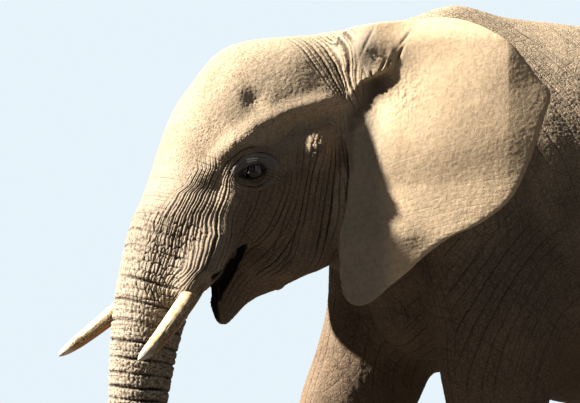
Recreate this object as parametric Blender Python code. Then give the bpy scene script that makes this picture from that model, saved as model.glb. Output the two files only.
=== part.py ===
"""A still, life-size African bush elephant: flesh grown from lofts, then parted into head, neck, trunk, body, legs, ears and tail, with tusks, eyes and nails as solids of their own."""
import math

import bmesh
import bpy
import numpy as np
from mathutils import Matrix, Vector

# ---------------------------------------------------------------- sizes, in metres
# X runs from trunk (minus) to tail (plus), the animal's left side is at minus Y, and the floor is at Z = 0.
# In the tables X is counted from a line just behind the eyes; the whole animal is centred over the origin at the end.
EYE = (-0.124, 0.248, 1.842)  # centre of an eyeball
EYE_R = 0.034

# The body from neck to rump: X, top, bottom, half width, height of the widest line, fullness above and below it
BODY = (
    (0.10, 2.360, 1.640, 0.250, 1.98, 2.0, 2.0),
    (0.30, 2.418, 1.560, 0.300, 1.95, 2.0, 2.1),
    (0.50, 2.445, 1.400, 0.345, 1.88, 1.9, 2.1),
    (0.70, 2.500, 1.250, 0.390, 1.78, 1.8, 2.1),
    (0.90, 2.558, 1.110, 0.450, 1.66, 1.55, 2.1),
    (1.10, 2.520, 1.040, 0.520, 1.58, 1.7, 2.2),
    (1.40, 2.505, 0.990, 0.600, 1.52, 1.75, 2.2),
    (1.75, 2.495, 0.940, 0.655, 1.50, 1.8, 2.2),
    (2.10, 2.510, 0.920, 0.660, 1.52, 1.75, 2.2),
    (2.45, 2.500, 0.980, 0.600, 1.60, 1.7, 2.2),
    (2.75, 2.385, 1.120, 0.510, 1.68, 1.8, 2.1),
    (2.98, 2.190, 1.280, 0.400, 1.72, 2.0, 2.1),
    (3.12, 2.020, 1.450, 0.250, 1.74, 2.0, 2.0),
    (3.18, 1.900, 1.600, 0.110, 1.75, 2.0, 2.0),
)
# The head in level slices: Z, front X, X of the widest line, half width, back X, squareness
HEAD = (
    (2.412, 0.310, 0.440, 0.040, 0.56, 2.0),
    (2.394, 0.135, 0.400, 0.090, 0.60, 2.0),
    (2.372, -0.025, 0.340, 0.130, 0.62, 2.0),
    (2.346, -0.108, 0.300, 0.165, 0.62, 2.0),
    (2.300, -0.175, 0.260, 0.200, 0.62, 2.0),
    (2.200, -0.252, 0.200, 0.240, 0.62, 2.1),
    (2.100, -0.322, 0.160, 0.268, 0.60, 2.2),
    (2.000, -0.365, 0.120, 0.285, 0.58, 2.2),
    (1.900, -0.398, 0.080, 0.295, 0.55, 2.2),
    (1.800, -0.430, 0.040, 0.300, 0.50, 2.3),
    (1.700, -0.462, 0.000, 0.290, 0.42, 2.3),
    (1.620, -0.462, -0.030, 0.265, 0.34, 2.2),
    (1.570, -0.420, -0.050, 0.215, 0.28, 2.1),
)
# The trunk's middle line from the face to its tip: X, Y, Z, half depth, half width
TRUNK = (
    (-0.252, 0, 1.741, 0.188, 0.200),
    (-0.290, 0, 1.679, 0.182, 0.195),
    (-0.331, 0, 1.613, 0.176, 0.190),
    (-0.364, 0, 1.542, 0.168, 0.182),
    (-0.395, 0, 1.460, 0.158, 0.170),
    (-0.4265, 0, 1.370, 0.146, 0.155),
    (-0.461, 0, 1.217, 0.131, 0.135),
    (-0.4915, 0, 0.974, 0.1125, 0.114),
    (-0.512, 0, 0.800, 0.098, 0.100),
    (-0.518, 0, 0.600, 0.085, 0.087),
    (-0.503, 0, 0.400, 0.073, 0.076),
    (-0.468, 0, 0.250, 0.064, 0.067),
    (-0.416, 0, 0.160, 0.058, 0.062),
    (-0.351, 0, 0.118, 0.052, 0.058),
    (-0.301, 0, 0.115, 0.046, 0.052),
)
# Each tusk's middle line: X, Y, Z, radius. It is rooted in the face and leaves the lip at the third row. The left one hangs a little lower.
TUSK_LEFT = (
    (-0.235, -0.150, 1.600, 0.036),
    (-0.298, -0.181, 1.482, 0.036),
    (-0.367, -0.214, 1.382, 0.036),
    (-0.428, -0.247, 1.318, 0.035),
    (-0.489, -0.280, 1.258, 0.033),
    (-0.571, -0.322, 1.184, 0.027),
    (-0.617, -0.343, 1.150, 0.020),
    (-0.644, -0.355, 1.130, 0.012),
    (-0.656, -0.360, 1.122, 0.004),
)
TUSK_RIGHT = (
    (-0.235, 0.150, 1.600, 0.036),
    (-0.305, 0.185, 1.490, 0.036),
    (-0.380, 0.230, 1.398, 0.035),
    (-0.468, 0.277, 1.318, 0.033),
    (-0.528, 0.303, 1.264, 0.029),
    (-0.603, 0.334, 1.202, 0.0235),
    (-0.646, 0.353, 1.168, 0.013),
    (-0.660, 0.360, 1.157, 0.004),
)
# The sheath of flesh around a tusk's root
SHEATH = (
    (-0.150, 0.120, 1.800, 0.100),
    (-0.200, 0.140, 1.680, 0.105),
    (-0.265, 0.168, 1.560, 0.100),
    (-0.325, 0.193, 1.470, 0.088),
    (-0.366, 0.211, 1.413, 0.070),
    (-0.374, 0.214, 1.402, 0.050),
)
# The lower jaw, cut across X: X, top, bottom, half width at the top, half width at the bottom
JAW = (
    (0.420, 1.780, 1.560, 0.240, 0.120),
    (0.300, 1.770, 1.502, 0.262, 0.155),
    (0.180, 1.750, 1.455, 0.262, 0.160),
    (0.080, 1.710, 1.407, 0.238, 0.140),
    (0.000, 1.670, 1.377, 0.190, 0.110),
    (-0.060, 1.620, 1.335, 0.130, 0.078),
    (-0.105, 1.570, 1.282, 0.090, 0.056),
    (-0.138, 1.530, 1.256, 0.072, 0.044),
    (-0.162, 1.505, 1.288, 0.062, 0.038),
    (-0.184, 1.480, 1.345, 0.052, 0.036),
)
# Legs in level slices: Z, X, Y, half length, half width (right side; the left side is at minus Y)
FORE_NEAR = (
    (2.05, 0.88, 0.26, 0.10, 0.08),
    (1.90, 0.87, 0.31, 0.25, 0.13),
    (1.60, 0.87, 0.34, 0.315, 0.15),
    (1.35, 0.886, 0.345, 0.287, 0.165),
    (1.23, 0.891, 0.340, 0.268, 0.165),
    (1.13, 0.888, 0.335, 0.253, 0.163),
    (1.03, 0.890, 0.328, 0.231, 0.157),
    (0.97, 0.890, 0.325, 0.214, 0.155),
    (0.75, 0.898, 0.315, 0.172, 0.145),
    (0.55, 0.910, 0.305, 0.155, 0.145),
    (0.35, 0.920, 0.300, 0.145, 0.140),
    (0.18, 0.920, 0.300, 0.162, 0.158),
    (0.06, 0.915, 0.300, 0.190, 0.186),
    (0.02, 0.910, 0.300, 0.192, 0.189),
    (-0.02, 0.910, 0.300, 0.180, 0.177),
)
FORE_FAR = (
    (2.05, 0.86, 0.26, 0.10, 0.08),
    (1.90, 0.85, 0.31, 0.25, 0.13),
    (1.60, 0.835, 0.34, 0.305, 0.15),
    (1.42, 0.805, 0.345, 0.290, 0.160),
    (1.34, 0.788, 0.345, 0.285, 0.165),
    (1.22, 0.741, 0.340, 0.275, 0.165),
    (1.09, 0.674, 0.330, 0.264, 0.162),
    (0.98, 0.624, 0.325, 0.254, 0.157),
    (0.75, 0.540, 0.310, 0.190, 0.145),
    (0.55, 0.475, 0.300, 0.160, 0.145),
    (0.35, 0.415, 0.295, 0.146, 0.140),
    (0.18, 0.375, 0.295, 0.162, 0.158),
    (0.06, 0.350, 0.295, 0.190, 0.186),
    (0.02, 0.345, 0.295, 0.192, 0.189),
    (-0.02, 0.345, 0.295, 0.180, 0.177),
)
HIND = (
    (2.10, 2.52, 0.26, 0.16, 0.10),
    (1.90, 2.53, 0.33, 0.36, 0.16),
    (1.60, 2.54, 0.37, 0.41, 0.19),
    (1.30, 2.49, 0.375, 0.355, 0.190),
    (1.05, 2.43, 0.355, 0.270, 0.170),
    (0.85, 2.43, 0.335, 0.212, 0.155),
    (0.65, 2.49, 0.315, 0.172, 0.140),
    (0.45, 2.545, 0.300, 0.146, 0.130),
    (0.28, 2.550, 0.295, 0.136, 0.126),
    (0.15, 2.540, 0.295, 0.152, 0.140),
    (0.06, 2.525, 0.295, 0.182, 0.158),
    (0.02, 2.520, 0.295, 0.184, 0.160),
    (-0.02, 2.520, 0.295, 0.172, 0.150),
)
HIND_STEP = 0.20  # how much farther back the right hind foot stands than the left one
TAIL = (
    (2.96, 0, 2.080, 0.085),
    (3.10, 0, 2.045, 0.070),
    (3.205, 0, 1.920, 0.056),
    (3.255, 0, 1.680, 0.045),
    (3.265, 0, 1.380, 0.037),
    (3.250, 0, 1.080, 0.030),
    (3.235, 0, 0.880, 0.025),
    (3.232, 0, 0.840, 0.018),
)
TUFT = (
    (3.246, 0, 0.980, 0.028),
    (3.240, 0, 0.925, 0.033),
    (3.236, 0, 0.840, 0.042),
    (3.234, 0, 0.740, 0.045),
    (3.236, 0, 0.620, 0.036),
    (3.240, 0, 0.520, 0.014),
)
# The ear: a sheet rooted on a line behind the cheek, turned out from the neck by EAR_OPEN
EAR_ROOT = (0.250, 0.330)
EAR_OPEN = math.radians(35)
# Its outline round from the root's top: distance back from the root line, height
EAR_OUTLINE = (
    (-0.050, 2.385), (-0.005, 2.411), (0.071, 2.425), (0.168, 2.438), (0.264, 2.446), (0.328, 2.447),
    (0.393, 2.441), (0.444, 2.428), (0.494, 2.409), (0.543, 2.380), (0.586, 2.350), (0.630, 2.305),
    (0.674, 2.249), (0.719, 2.192), (0.748, 2.164), (0.756, 2.138), (0.732, 2.065), (0.700, 1.964),
    (0.660, 1.850), (0.615, 1.763), (0.583, 1.726), (0.483, 1.651), (0.438, 1.628), (0.386, 1.607),
    (0.298, 1.549), (0.210, 1.466), (0.149, 1.421), (0.075, 1.359), (0.044, 1.346), (0.012, 1.346),
    (-0.016, 1.362), (-0.032, 1.391), (-0.046, 1.470), (-0.045, 1.568), (-0.035, 1.631), (-0.016, 1.694),
    (0.000, 1.790), (0.000, 2.000), (-0.010, 2.200), (-0.035, 2.320),
)
EAR_ROOT_LINE = ((-0.02, 2.30), (0.0, 2.15), (0.0, 1.95), (-0.03, 1.80))


# ---------------------------------------------------------------- curves and lofts
def steady(table, at):
    """A table's columns read at new values of its first one, by a cubic that keeps to the table's rises and falls."""
    t = np.array(table, float)
    if t[0, 0] > t[-1, 0]:
        t = t[::-1]
    x, y = t[:, 0], t[:, 1:]
    h = np.diff(x)
    d = np.diff(y, axis=0) / h[:, None]
    m = np.zeros_like(y)
    same = d[:-1] * d[1:] > 0
    w1, w2 = (2 * h[1:] + h[:-1])[:, None], (h[1:] + 2 * h[:-1])[:, None]
    safe = np.where(same, d[:-1], 1.0), np.where(same, d[1:], 1.0)
    m[1:-1] = np.where(same, (w1 + w2) / (w1 / safe[0] + w2 / safe[1]), 0.0)
    m[0], m[-1] = d[0], d[-1]
    at = np.clip(np.asarray(at, float), x[0], x[-1])
    i = np.clip(np.searchsorted(x, at, side="right") - 1, 0, len(x) - 2)
    s = ((at - x[i]) / h[i])[:, None]
    hh = h[i][:, None]
    return (
        (2 * s**3 - 3 * s**2 + 1) * y[i]
        + (s**3 - 2 * s**2 + s) * hh * m[i]
        + (-2 * s**3 + 3 * s**2) * y[i + 1]
        + (s**3 - s**2) * hh * m[i + 1]
    )


def flowing(rows, count, closed=False):
    """Rows spaced evenly along a smooth curve through the given ones."""
    p = np.array(rows, float)
    if closed:
        p = np.vstack([p[-2:], p, p[:3]])
    gap = np.linalg.norm(np.diff(p[:, : min(3, p.shape[1])], axis=0), axis=1) ** 0.7
    t = np.concatenate([[0], np.cumsum(gap)])
    d = np.diff(p, axis=0) / gap[:, None]
    m = np.empty_like(p)
    m[1:-1] = (d[:-1] * gap[1:, None] + d[1:] * gap[:-1, None]) / (gap[:-1] + gap[1:])[:, None]
    m[0], m[-1] = d[0], d[-1]
    lo, hi = (t[2], t[-3]) if closed else (t[0], t[-1])

    def at(q):
        i = np.clip(np.searchsorted(t, q, side="right") - 1, 0, len(t) - 2)
        s = ((q - t[i]) / gap[i])[:, None]
        g = gap[i][:, None]
        return (
            (2 * s**3 - 3 * s**2 + 1) * p[i]
            + (s**3 - 2 * s**2 + s) * g * m[i]
            + (-2 * s**3 + 3 * s**2) * p[i + 1]
            + (s**3 - s**2) * g * m[i + 1]
        )

    fine = at(np.linspace(lo, hi, 600))
    run = np.concatenate([[0], np.cumsum(np.linalg.norm(np.diff(fine[:, : min(3, p.shape[1])], axis=0), axis=1))])
    want = np.linspace(0, run[-1], count + 1)[:-1] if closed else np.linspace(0, run[-1], count)
    return np.stack([np.interp(want, run, fine[:, k]) for k in range(fine.shape[1])], 1)


def power_ring(n, segs, start=0.0):
    """Cosines and sines of a ring, squared off by the power n."""
    a = np.arange(segs) / segs * 2 * math.pi + start
    c, s = np.cos(a), np.sin(a)
    return np.sign(c) * np.abs(c) ** (2 / n), np.sign(s) * np.abs(s) ** (2 / n)


def loft(name, rings, points=None):
    """A closed skin over rings of equally many points, its ends closed flat."""
    bm = bmesh.new()
    rows = [[bm.verts.new(p) for p in ring] for ring in rings]
    n = len(rows[0])
    for a, b in zip(rows, rows[1:]):
        for i in range(n):
            bm.faces.new((a[i], a[(i + 1) % n], b[(i + 1) % n], b[i]))
    bm.faces.new(rows[0][::-1])
    bm.faces.new(rows[-1])
    return body(name, bm)


def body(name, bm):
    bmesh.ops.recalc_face_normals(bm, faces=bm.faces)
    mesh = bpy.data.meshes.new(name)
    bm.to_mesh(mesh)
    bm.free()
    ob = bpy.data.objects.new(name, mesh)
    bpy.context.scene.collection.objects.link(ob)
    return ob


def tube(name, rows, count, segs, flat=0.0):
    """A round body along a middle line. Rows are X, Y, Z and a radius, or half depth and half width."""
    r = flowing(rows, count)
    c = r[:, :3]
    ra, rb = r[:, 3], r[:, 4] if r.shape[1] > 4 else r[:, 3]
    d = np.gradient(c, axis=0)
    d /= np.linalg.norm(d, axis=1)[:, None]
    side = np.cross(d, (0, 1, 0) if abs(d[0][1]) < 0.9 else (1, 0, 0))
    side /= np.linalg.norm(side, axis=1)[:, None]
    up = np.cross(d, side)
    a = np.arange(segs) / segs * 2 * math.pi
    rings = []
    for k in range(len(c)):
        u = np.cos(a)[:, None] * side[k] * ra[k]
        v = np.sin(a)[:, None] * up[k] * rb[k]
        rings.append(c[k] + u + v)
    return loft(name, rings)


def ball(name, centre, radii, turn=(0, 0, 0), segs=24, rings=14):
    bm = bmesh.new()
    bmesh.ops.create_uvsphere(bm, u_segments=segs, v_segments=rings, radius=1.0)
    rot = Matrix.Rotation(math.radians(turn[2]), 4, "Z") @ Matrix.Rotation(math.radians(turn[1]), 4, "Y") @ Matrix.Rotation(math.radians(turn[0]), 4, "X")
    bm.transform(Matrix.Translation(centre) @ rot @ Matrix.Diagonal((*radii, 1)))
    return body(name, bm)


def body_loft(segs=48, count=60):
    x = np.linspace(BODY[0][0], BODY[-1][0], count)
    t = steady(BODY, x)
    rings = []
    for k in range(count):
        top, bottom, w, mid, n1, n2 = t[k]
        c1, s1 = power_ring(n1, segs)
        c2, s2 = power_ring(n2, segs)
        up = s1 >= 0
        y = np.where(up, c1, c2) * w
        z = np.where(up, mid + s1 * (top - mid), mid + s2 * (mid - bottom))
        rings.append(np.stack([np.full(segs, x[k]), y, z], 1))
    return loft("body", rings)


def head_loft(segs=56, count=44):
    zs = np.linspace(HEAD[0][0], HEAD[-1][0], count)
    t = steady(HEAD, zs)
    rings = []
    for k in range(count):
        front, mid, w, back, n = t[k]
        c, s = power_ring(n, segs)
        x = np.where(c < 0, mid + c * (mid - front), mid + c * (back - mid))
        rings.append(np.stack([x, s * w, np.full(segs, zs[k])], 1))
    return loft("head", rings)


def jaw_loft(segs=28, count=20):
    x = np.linspace(JAW[0][0], JAW[-1][0], count)
    t = steady(JAW, x)
    rings = []
    for k in range(count):
        top, bottom, wt, wb = t[k]
        a = np.arange(segs) / segs * 2 * math.pi
        s, c = np.sin(a), np.cos(a)
        w = wb + (wt - wb) * (s + 1) / 2
        rings.append(np.stack([np.full(segs, x[k]), np.sign(c) * np.abs(c) ** 0.85 * w, (top + bottom) / 2 + s * (top - bottom) / 2], 1))
    return loft("jaw", rings)


def leg_loft(name, table, side, shift=0.0, segs=32, count=44):
    z = np.linspace(table[0][0], table[-1][0], count)
    t = steady(table, z)
    a = np.arange(segs) / segs * 2 * math.pi
    rings = []
    for k in range(count):
        x, y, rx, ry = t[k]
        back = shift * min(1.0, max(0.0, (1.5 - z[k]) / 1.3))
        rings.append(np.stack([x + back + np.cos(a) * rx, side * y + np.sin(a) * ry, np.full(segs, z[k])], 1))
    return loft(name, rings)


def mirrored(rows, side):
    return [(r[0], r[1] * side, *r[2:]) for r in rows]


# ---------------------------------------------------------------- work on whole bodies
def apply_all(ob):
    """Every modifier's result, as the object's own mesh."""
    dg = bpy.context.evaluated_depsgraph_get()
    mesh = bpy.data.meshes.new_from_object(ob.evaluated_get(dg))
    old = ob.data
    ob.modifiers.clear()
    ob.data = mesh
    if not old.users:
        bpy.data.meshes.remove(old)
    return ob


def joined(name, obs):
    bm = bmesh.new()
    for ob in obs:
        bm.from_mesh(ob.data)
        bpy.data.objects.remove(ob)
    mesh = bpy.data.meshes.new(name)
    bm.to_mesh(mesh)
    bm.free()
    out = bpy.data.objects.new(name, mesh)
    bpy.context.scene.collection.objects.link(out)
    return out


def remesh(ob, voxel):
    m = ob.modifiers.new("remesh", "REMESH")
    m.mode = "VOXEL"
    m.voxel_size = voxel
    return apply_all(ob)


def swell(ob, by):
    m = ob.modifiers.new("swell", "DISPLACE")
    m.mid_level = 0.0
    m.strength = by
    return apply_all(ob)


def relax(ob, factor, times):
    m = ob.modifiers.new("relax", "SMOOTH")
    m.factor = factor
    m.iterations = times
    return apply_all(ob)


def fillet(ob, radius, voxel):
    """Fills the inner corners to about this radius, leaving the outer shape as it is."""
    steps = max(1, int(round(radius / 0.02)))
    for _ in range(steps):
        swell(ob, radius / steps)
        remesh(ob, voxel)
    for _ in range(steps):
        swell(ob, -radius / steps)
        relax(ob, 0.5, 1)
    return ob


def co_of(mesh):
    co = np.empty(len(mesh.vertices) * 3)
    mesh.vertices.foreach_get("co", co)
    return co.reshape(-1, 3)


def normals_of(mesh):
    n = np.empty(len(mesh.vertices) * 3, np.float32)
    mesh.vertex_normals.foreach_get("vector", n)
    return n.reshape(-1, 3).astype(float)


def set_co(mesh, co):
    mesh.vertices.foreach_set("co", np.ascontiguousarray(co, dtype=np.float64).ravel())
    mesh.update()


# ---------------------------------------------------------------- the ear
def ear_frame(side):
    """The ear's own directions: back along its sheet, and out of its front face."""
    c, s = math.cos(EAR_OPEN), math.sin(EAR_OPEN)
    return np.array([EAR_ROOT[0], side * EAR_ROOT[1], 0.0]), np.array([c, side * s, 0.0]), np.array([-s, side * c, 0.0])


def ear_rim(side, segs):
    """The outline, evenly spaced. The right ear's lobe hangs a little shorter than the left one's."""
    rim = flowing([(t, z, 0.0) for t, z in EAR_OUTLINE], segs, closed=True)[:, :2]
    if side > 0:
        rim[:, 1] += 0.085 * np.clip((1.75 - rim[:, 1]) / 0.40, 0, 1)
    return rim


def bell(t, z, t0, z0, wt, wz):
    return np.exp(-(((t - t0) / wt) ** 2) - ((z - z0) / wz) ** 2)


def ear_bend(t, z):
    """How far the sheet stands out of its flat plane toward its front face."""
    t, z = np.asarray(t, float), np.asarray(z, float)
    out = 0.055 * bell(t, z, 0.055, 2.34, 0.10, 0.085)  # the roll over the root
    out += 0.020 * bell(t, z, 0.16, 2.30, 0.08, 0.10)
    out -= 0.024 * bell(t, z, 0.095, 2.12, 0.06, 0.12)  # the hollow under it
    out -= 0.022 * bell(t, z, 0.070, 1.85, 0.06, 0.16)
    out += 0.022 * bell(t, z, 0.300, 2.02, 0.17, 0.22)  # the full middle of the sheet
    out -= 0.075 * np.clip((t - 0.34) / 0.42, 0, 1) ** 2  # its back edge turns in
    out -= 0.050 * np.clip((z - 2.34) / 0.11, 0, 1) ** 2 * np.clip((t - 0.10) / 0.15, 0, 1)
    out -= 0.018 * bell(t, z, 0.42, 1.80, 0.10, 0.10)
    out += 0.016 * bell(t, z, 0.18, 1.62, 0.09, 0.10)
    out += 0.006 * np.sin(t * 21 + z * 11) * np.clip(t / 0.2, 0, 1)
    return out


def ear_lean(t, z):
    """How far the sheet is set in toward the neck: little at the cheek, more at the top, where the head is narrow."""
    rise = np.clip((z - 1.85) / 0.50, 0, 1)
    return (0.035 * np.clip((z - 1.60) / 0.2, 0, 1) + 0.125 * rise * rise * (3 - 2 * rise)) * np.clip(1 - t / 0.60, 0, 1)


def ear_thick(t, z, edge):
    """The sheet's thickness: stout at the root and in the roll, thin at the rim."""
    root = np.clip(1 - np.abs(t) / 0.20, 0, 1) * np.clip((z - 1.66) / 0.2, 0, 1)
    return 0.013 + 0.055 * root**1.4 + 0.012 * edge + 0.020 * bell(t, z, 0.05, 2.34, 0.09, 0.08)


def ear_sheet(side, segs=72, rows=16, spare=0.0, grow=0.0):
    """One ear as a closed sheet, a fan of rings from its middle out to its outline."""
    rim = ear_rim(side, segs)
    root, e, n = ear_frame(side)
    sink = np.array([math.sin(math.radians(27)), -side * math.cos(math.radians(27)), 0.0])
    centre = np.array([[0.14, 2.03]])

    def place(p, edge, face):
        t, z = p[:, 0], p[:, 1]
        off = ear_bend(t, z) + face * (ear_thick(t, z, edge) / 2 + spare)
        return root + t[:, None] * e + off[:, None] * n + ear_lean(t, z)[:, None] * sink + z[:, None] * np.array([0, 0, 1.0])

    bm = bmesh.new()
    share = np.linspace(0, 1, rows) ** 0.85
    out = rim - centre
    out = out * (1 + grow / np.linalg.norm(out, axis=1))[:, None]
    sheets = []
    for face in (1, -1):
        c = bm.verts.new(place(centre, 1.0, face)[0])
        rings = [[bm.verts.new(q) for q in place(centre + out * s, 1 - s, face)] for s in share[1:]]
        k = segs
        for i in range(k):
            bm.faces.new((c, rings[0][i], rings[0][(i + 1) % k]))
        for a, b in zip(rings, rings[1:]):
            for i in range(k):
                bm.faces.new((a[i], b[i], b[(i + 1) % k], a[(i + 1) % k]))
        sheets.append(rings[-1])
    edge = [bm.verts.new(q) for q in place(centre + out * (1 + 0.006 / np.linalg.norm(out, axis=1))[:, None], 0.0, 0)]
    for a in (sheets[0], sheets[1]):
        for i in range(k):
            bm.faces.new((a[i], edge[i], edge[(i + 1) % k], a[(i + 1) % k]))
    return body("ear", bm)


# ---------------------------------------------------------------- the animal's flesh
def flesh(voxel, round_to=0.05):
    """Body, head, trunk, legs and tail grown into one skin, without the ears, eyes, tusks and nails."""
    parts = [body_loft(), head_loft()]
    parts.append(tube("trunk", TRUNK, 70, 40))
    for side in (-1, 1):
        parts.append(ball("cheek", (0.075, side * 0.165, 1.735), (0.20, 0.135, 0.215), (0, 12, 0)))
        parts.append(tube("sheath", mirrored(SHEATH, side), 14, 24))
        parts.append(ball("lip", (-0.366, side * 0.209, 1.412), (0.066, 0.064, 0.040), (0, -32, 0)))
    parts.append(ball("throat", (0.28, 0, 1.72), (0.26, 0.20, 0.21)))
    parts.append(leg_loft("fore", FORE_NEAR, -1))
    parts.append(leg_loft("fore", FORE_FAR, 1))
    parts.append(leg_loft("hind", HIND, -1))
    parts.append(leg_loft("hind", HIND, 1, HIND_STEP))
    parts.append(ball("chest", (0.76, 0, 1.42), (0.23, 0.24, 0.27)))
    skin = joined("flesh", parts)
    remesh(skin, voxel)
    fillet(skin, round_to, voxel)
    drape = [ball("drape", (0.135, side * 0.160, 1.590), (0.215, 0.115, 0.125), (0, -20, 0)) for side in (-1, 1)]
    drape += [ball("drape", (0.020, side * 0.085, 1.550), (0.160, 0.092, 0.100), (0, -26, 0)) for side in (-1, 1)]
    mouth = [jaw_loft(), ball("tongue", (-0.150, 0, 1.520), (0.085, 0.060, 0.100))]
    skin = joined("flesh", [skin, tube("tail", TAIL, 40, 20)] + mouth + drape)
    remesh(skin, voxel)
    fillet(skin, 0.012, voxel)
    relax(skin, 0.5, 2)
    carve(skin, ball("spout", (-0.212, 0, 1.385), (0.066, 0.034, 0.110), (0, 12, 0), 32, 20))
    return skin


def carve(ob, tool, mode="DIFFERENCE"):
    """Takes the tool's shape out of a body, or keeps what lies in it, and removes the tool."""
    m = ob.modifiers.new("carve", "BOOLEAN")
    m.operation, m.solver, m.object = mode, "EXACT", tool
    apply_all(ob)
    bpy.data.objects.remove(tool)
    return ob


# Rises and hollows on the finished skin: X, Y, Z of the middle, spread along X, Y and Z, height (minus is a hollow). Each is on both sides.
RELIEF = (
    (-0.140, 0.225, 2.105, 0.060, 0.09, 0.085, -0.032),  # temple hollow
    (-0.195, 0.235, 1.938, 0.060, 0.07, 0.045, 0.012),  # brow
    (-0.112, 0.270, 1.932, 0.075, 0.07, 0.035, 0.012),
    (-0.130, 0.275, 1.842, 0.062, 0.08, 0.045, -0.010),  # eye socket
    (-0.015, 0.290, 1.815, 0.085, 0.08, 0.045, 0.016),  # cheekbone
    (0.114, 0.310, 1.945, 0.055, 0.08, 0.075, 0.018),  # temporal gland's swelling
    (0.020, 0.280, 2.030, 0.060, 0.08, 0.060, -0.012),
    (-0.110, 0.280, 1.730, 0.070, 0.09, 0.060, -0.014),  # hollow under the eye
    (-0.290, 0.200, 1.780, 0.060, 0.07, 0.120, -0.016),  # between forehead and sheath
    (-0.240, 0.200, 1.620, 0.080, 0.07, 0.090, 0.012),  # sheath's top
    (0.180, 0.280, 2.200, 0.050, 0.09, 0.120, -0.014),  # before the ear
    (0.310, 0.340, 2.110, 0.060, 0.10, 0.095, -0.050),  # where the ear lies over the head
    (0.780, 0.420, 2.150, 0.060, 0.20, 0.260, 0.030),  # shoulder blade's ridge
    (0.660, 0.430, 1.600, 0.090, 0.20, 0.140, 0.030),  # point of the shoulder
    (1.190, 0.450, 1.700, 0.080, 0.20, 0.220, -0.035),  # behind the shoulder
    (2.420, 0.330, 2.330, 0.110, 0.20, 0.090, 0.035),  # hip bone
    (2.180, 0.550, 1.900, 0.160, 0.20, 0.180, -0.030),  # hollow of the flank
    (2.350, 0.520, 1.300, 0.120, 0.20, 0.110, 0.020),  # knee of the hind leg
    (1.100, 0.400, 1.220, 0.070, 0.20, 0.080, 0.022),  # elbow
)


def sculpt(ob, table=RELIEF):
    mesh = ob.data
    co, n = co_of(mesh), normals_of(mesh)
    move = np.zeros(len(co))
    for x, y, z, sx, sy, sz, high in table:
        for side in (-1, 1) if y else (1,):
            q = ((co[:, 0] - x) / sx) ** 2 + ((co[:, 1] - side * y) / sy) ** 2 + ((co[:, 2] - z) / sz) ** 2
            move += high * np.exp(-q / 2)
    set_co(mesh, co + n * move[:, None])
    return ob


# ---------------------------------------------------------------- the nodes
GAP = 0.0004  # between two pieces that meet
NAIL_TURNS = {"front": (-52, -20, 14, 48), "hind": (-38, 0, 38)}


def prism(points, y0, y1, inset=0.0):
    """A block over a convex outline in X and Z, from y0 to y1, all its faces drawn in by inset."""
    p = np.array(points, float)
    area = 0.5 * np.sum(p[:, 0] * np.roll(p[:, 1], -1) - np.roll(p[:, 0], -1) * p[:, 1])
    if area < 0:
        p = p[::-1]
    d = np.roll(p, -1, 0) - p
    d /= np.linalg.norm(d, axis=1)[:, None]
    out = np.stack([d[:, 1], -d[:, 0]], 1)
    moved = []
    for i in range(len(p)):
        a, b = out[i - 1], out[i]
        m = np.array([a, b])
        moved.append(np.linalg.solve(m, m @ p[i] - inset))
    p = np.array(moved)
    rings = [np.stack([p[:, 0], np.full(len(p), y), p[:, 1]], 1) for y in (y0 + inset, y1 - inset)]
    return loft("block", rings)


def slab(points, x0, x1, inset=0.0):
    """The same over an outline in Y and Z, from x0 to x1."""
    ob = prism(points, x0, x1, inset)
    ob.data.transform(Matrix(((0, 1, 0, 0), (1, 0, 0, 0), (0, 0, 1, 0), (0, 0, 0, 1))))
    ob.data.flip_normals()
    return ob


def copy_of(ob, name):
    new = bpy.data.objects.new(name, ob.data.copy())
    bpy.context.scene.collection.objects.link(new)
    return new


def keep_main(ob):
    """Drops crumbs that a cut left behind, and keeps the one large body."""
    bm = bmesh.new()
    bm.from_mesh(ob.data)
    bm.verts.ensure_lookup_table()
    seen, groups = set(), []
    for v in bm.verts:
        if v.index in seen:
            continue
        stack, group = [v], []
        seen.add(v.index)
        while stack:
            w = stack.pop()
            group.append(w)
            for e in w.link_edges:
                o = e.other_vert(w)
                if o.index not in seen:
                    seen.add(o.index)
                    stack.append(o)
        groups.append(group)
    groups.sort(key=len, reverse=True)
    drop = [v for g in groups[1:] for v in g]
    bmesh.ops.delete(bm, geom=drop, context="VERTS")
    bmesh.ops.dissolve_degenerate(bm, dist=1e-5, edges=bm.edges)
    bmesh.ops.triangulate(bm, faces=bm.faces)
    bm.to_mesh(ob.data)
    bm.free()
    return len(groups)


def part_off(rest, name, maker):
    """Takes the region that maker(inset) gives off the rest as a piece of its own, with a gap between them."""
    piece = copy_of(rest, name)
    carve(piece, maker(GAP), "INTERSECT")
    carve(rest, maker(0.0))
    keep_main(piece)
    piece.name = name
    return piece


def paint(ob, colour, rough):
    m = bpy.data.materials.new(ob.name + "_surface")
    m.use_nodes = True
    p = m.node_tree.nodes["Principled BSDF"]
    p.inputs["Base Color"].default_value = (*colour, 1)
    p.inputs["Roughness"].default_value = rough
    ob.data.materials.clear()
    ob.data.materials.append(m)
    ob.data.polygons.foreach_set("use_smooth", [True] * len(ob.data.polygons))


def slim(ob, faces, keep=None):
    """Fewer triangles, with more of them left where keep (0 to 1) is high."""
    have = sum(len(p.vertices) - 2 for p in ob.data.polygons)
    m = ob.modifiers.new("slim", "DECIMATE")
    m.ratio = faces / have
    if keep is not None:
        g = ob.vertex_groups.new(name="keep")
        for i, w in enumerate(keep):
            g.add([i], float(w), "REPLACE")
        m.vertex_group = "keep"
        m.invert_vertex_group = True
        m.vertex_group_factor = 1.0
    apply_all(ob)
    ob.vertex_groups.clear()
    return ob


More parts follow.
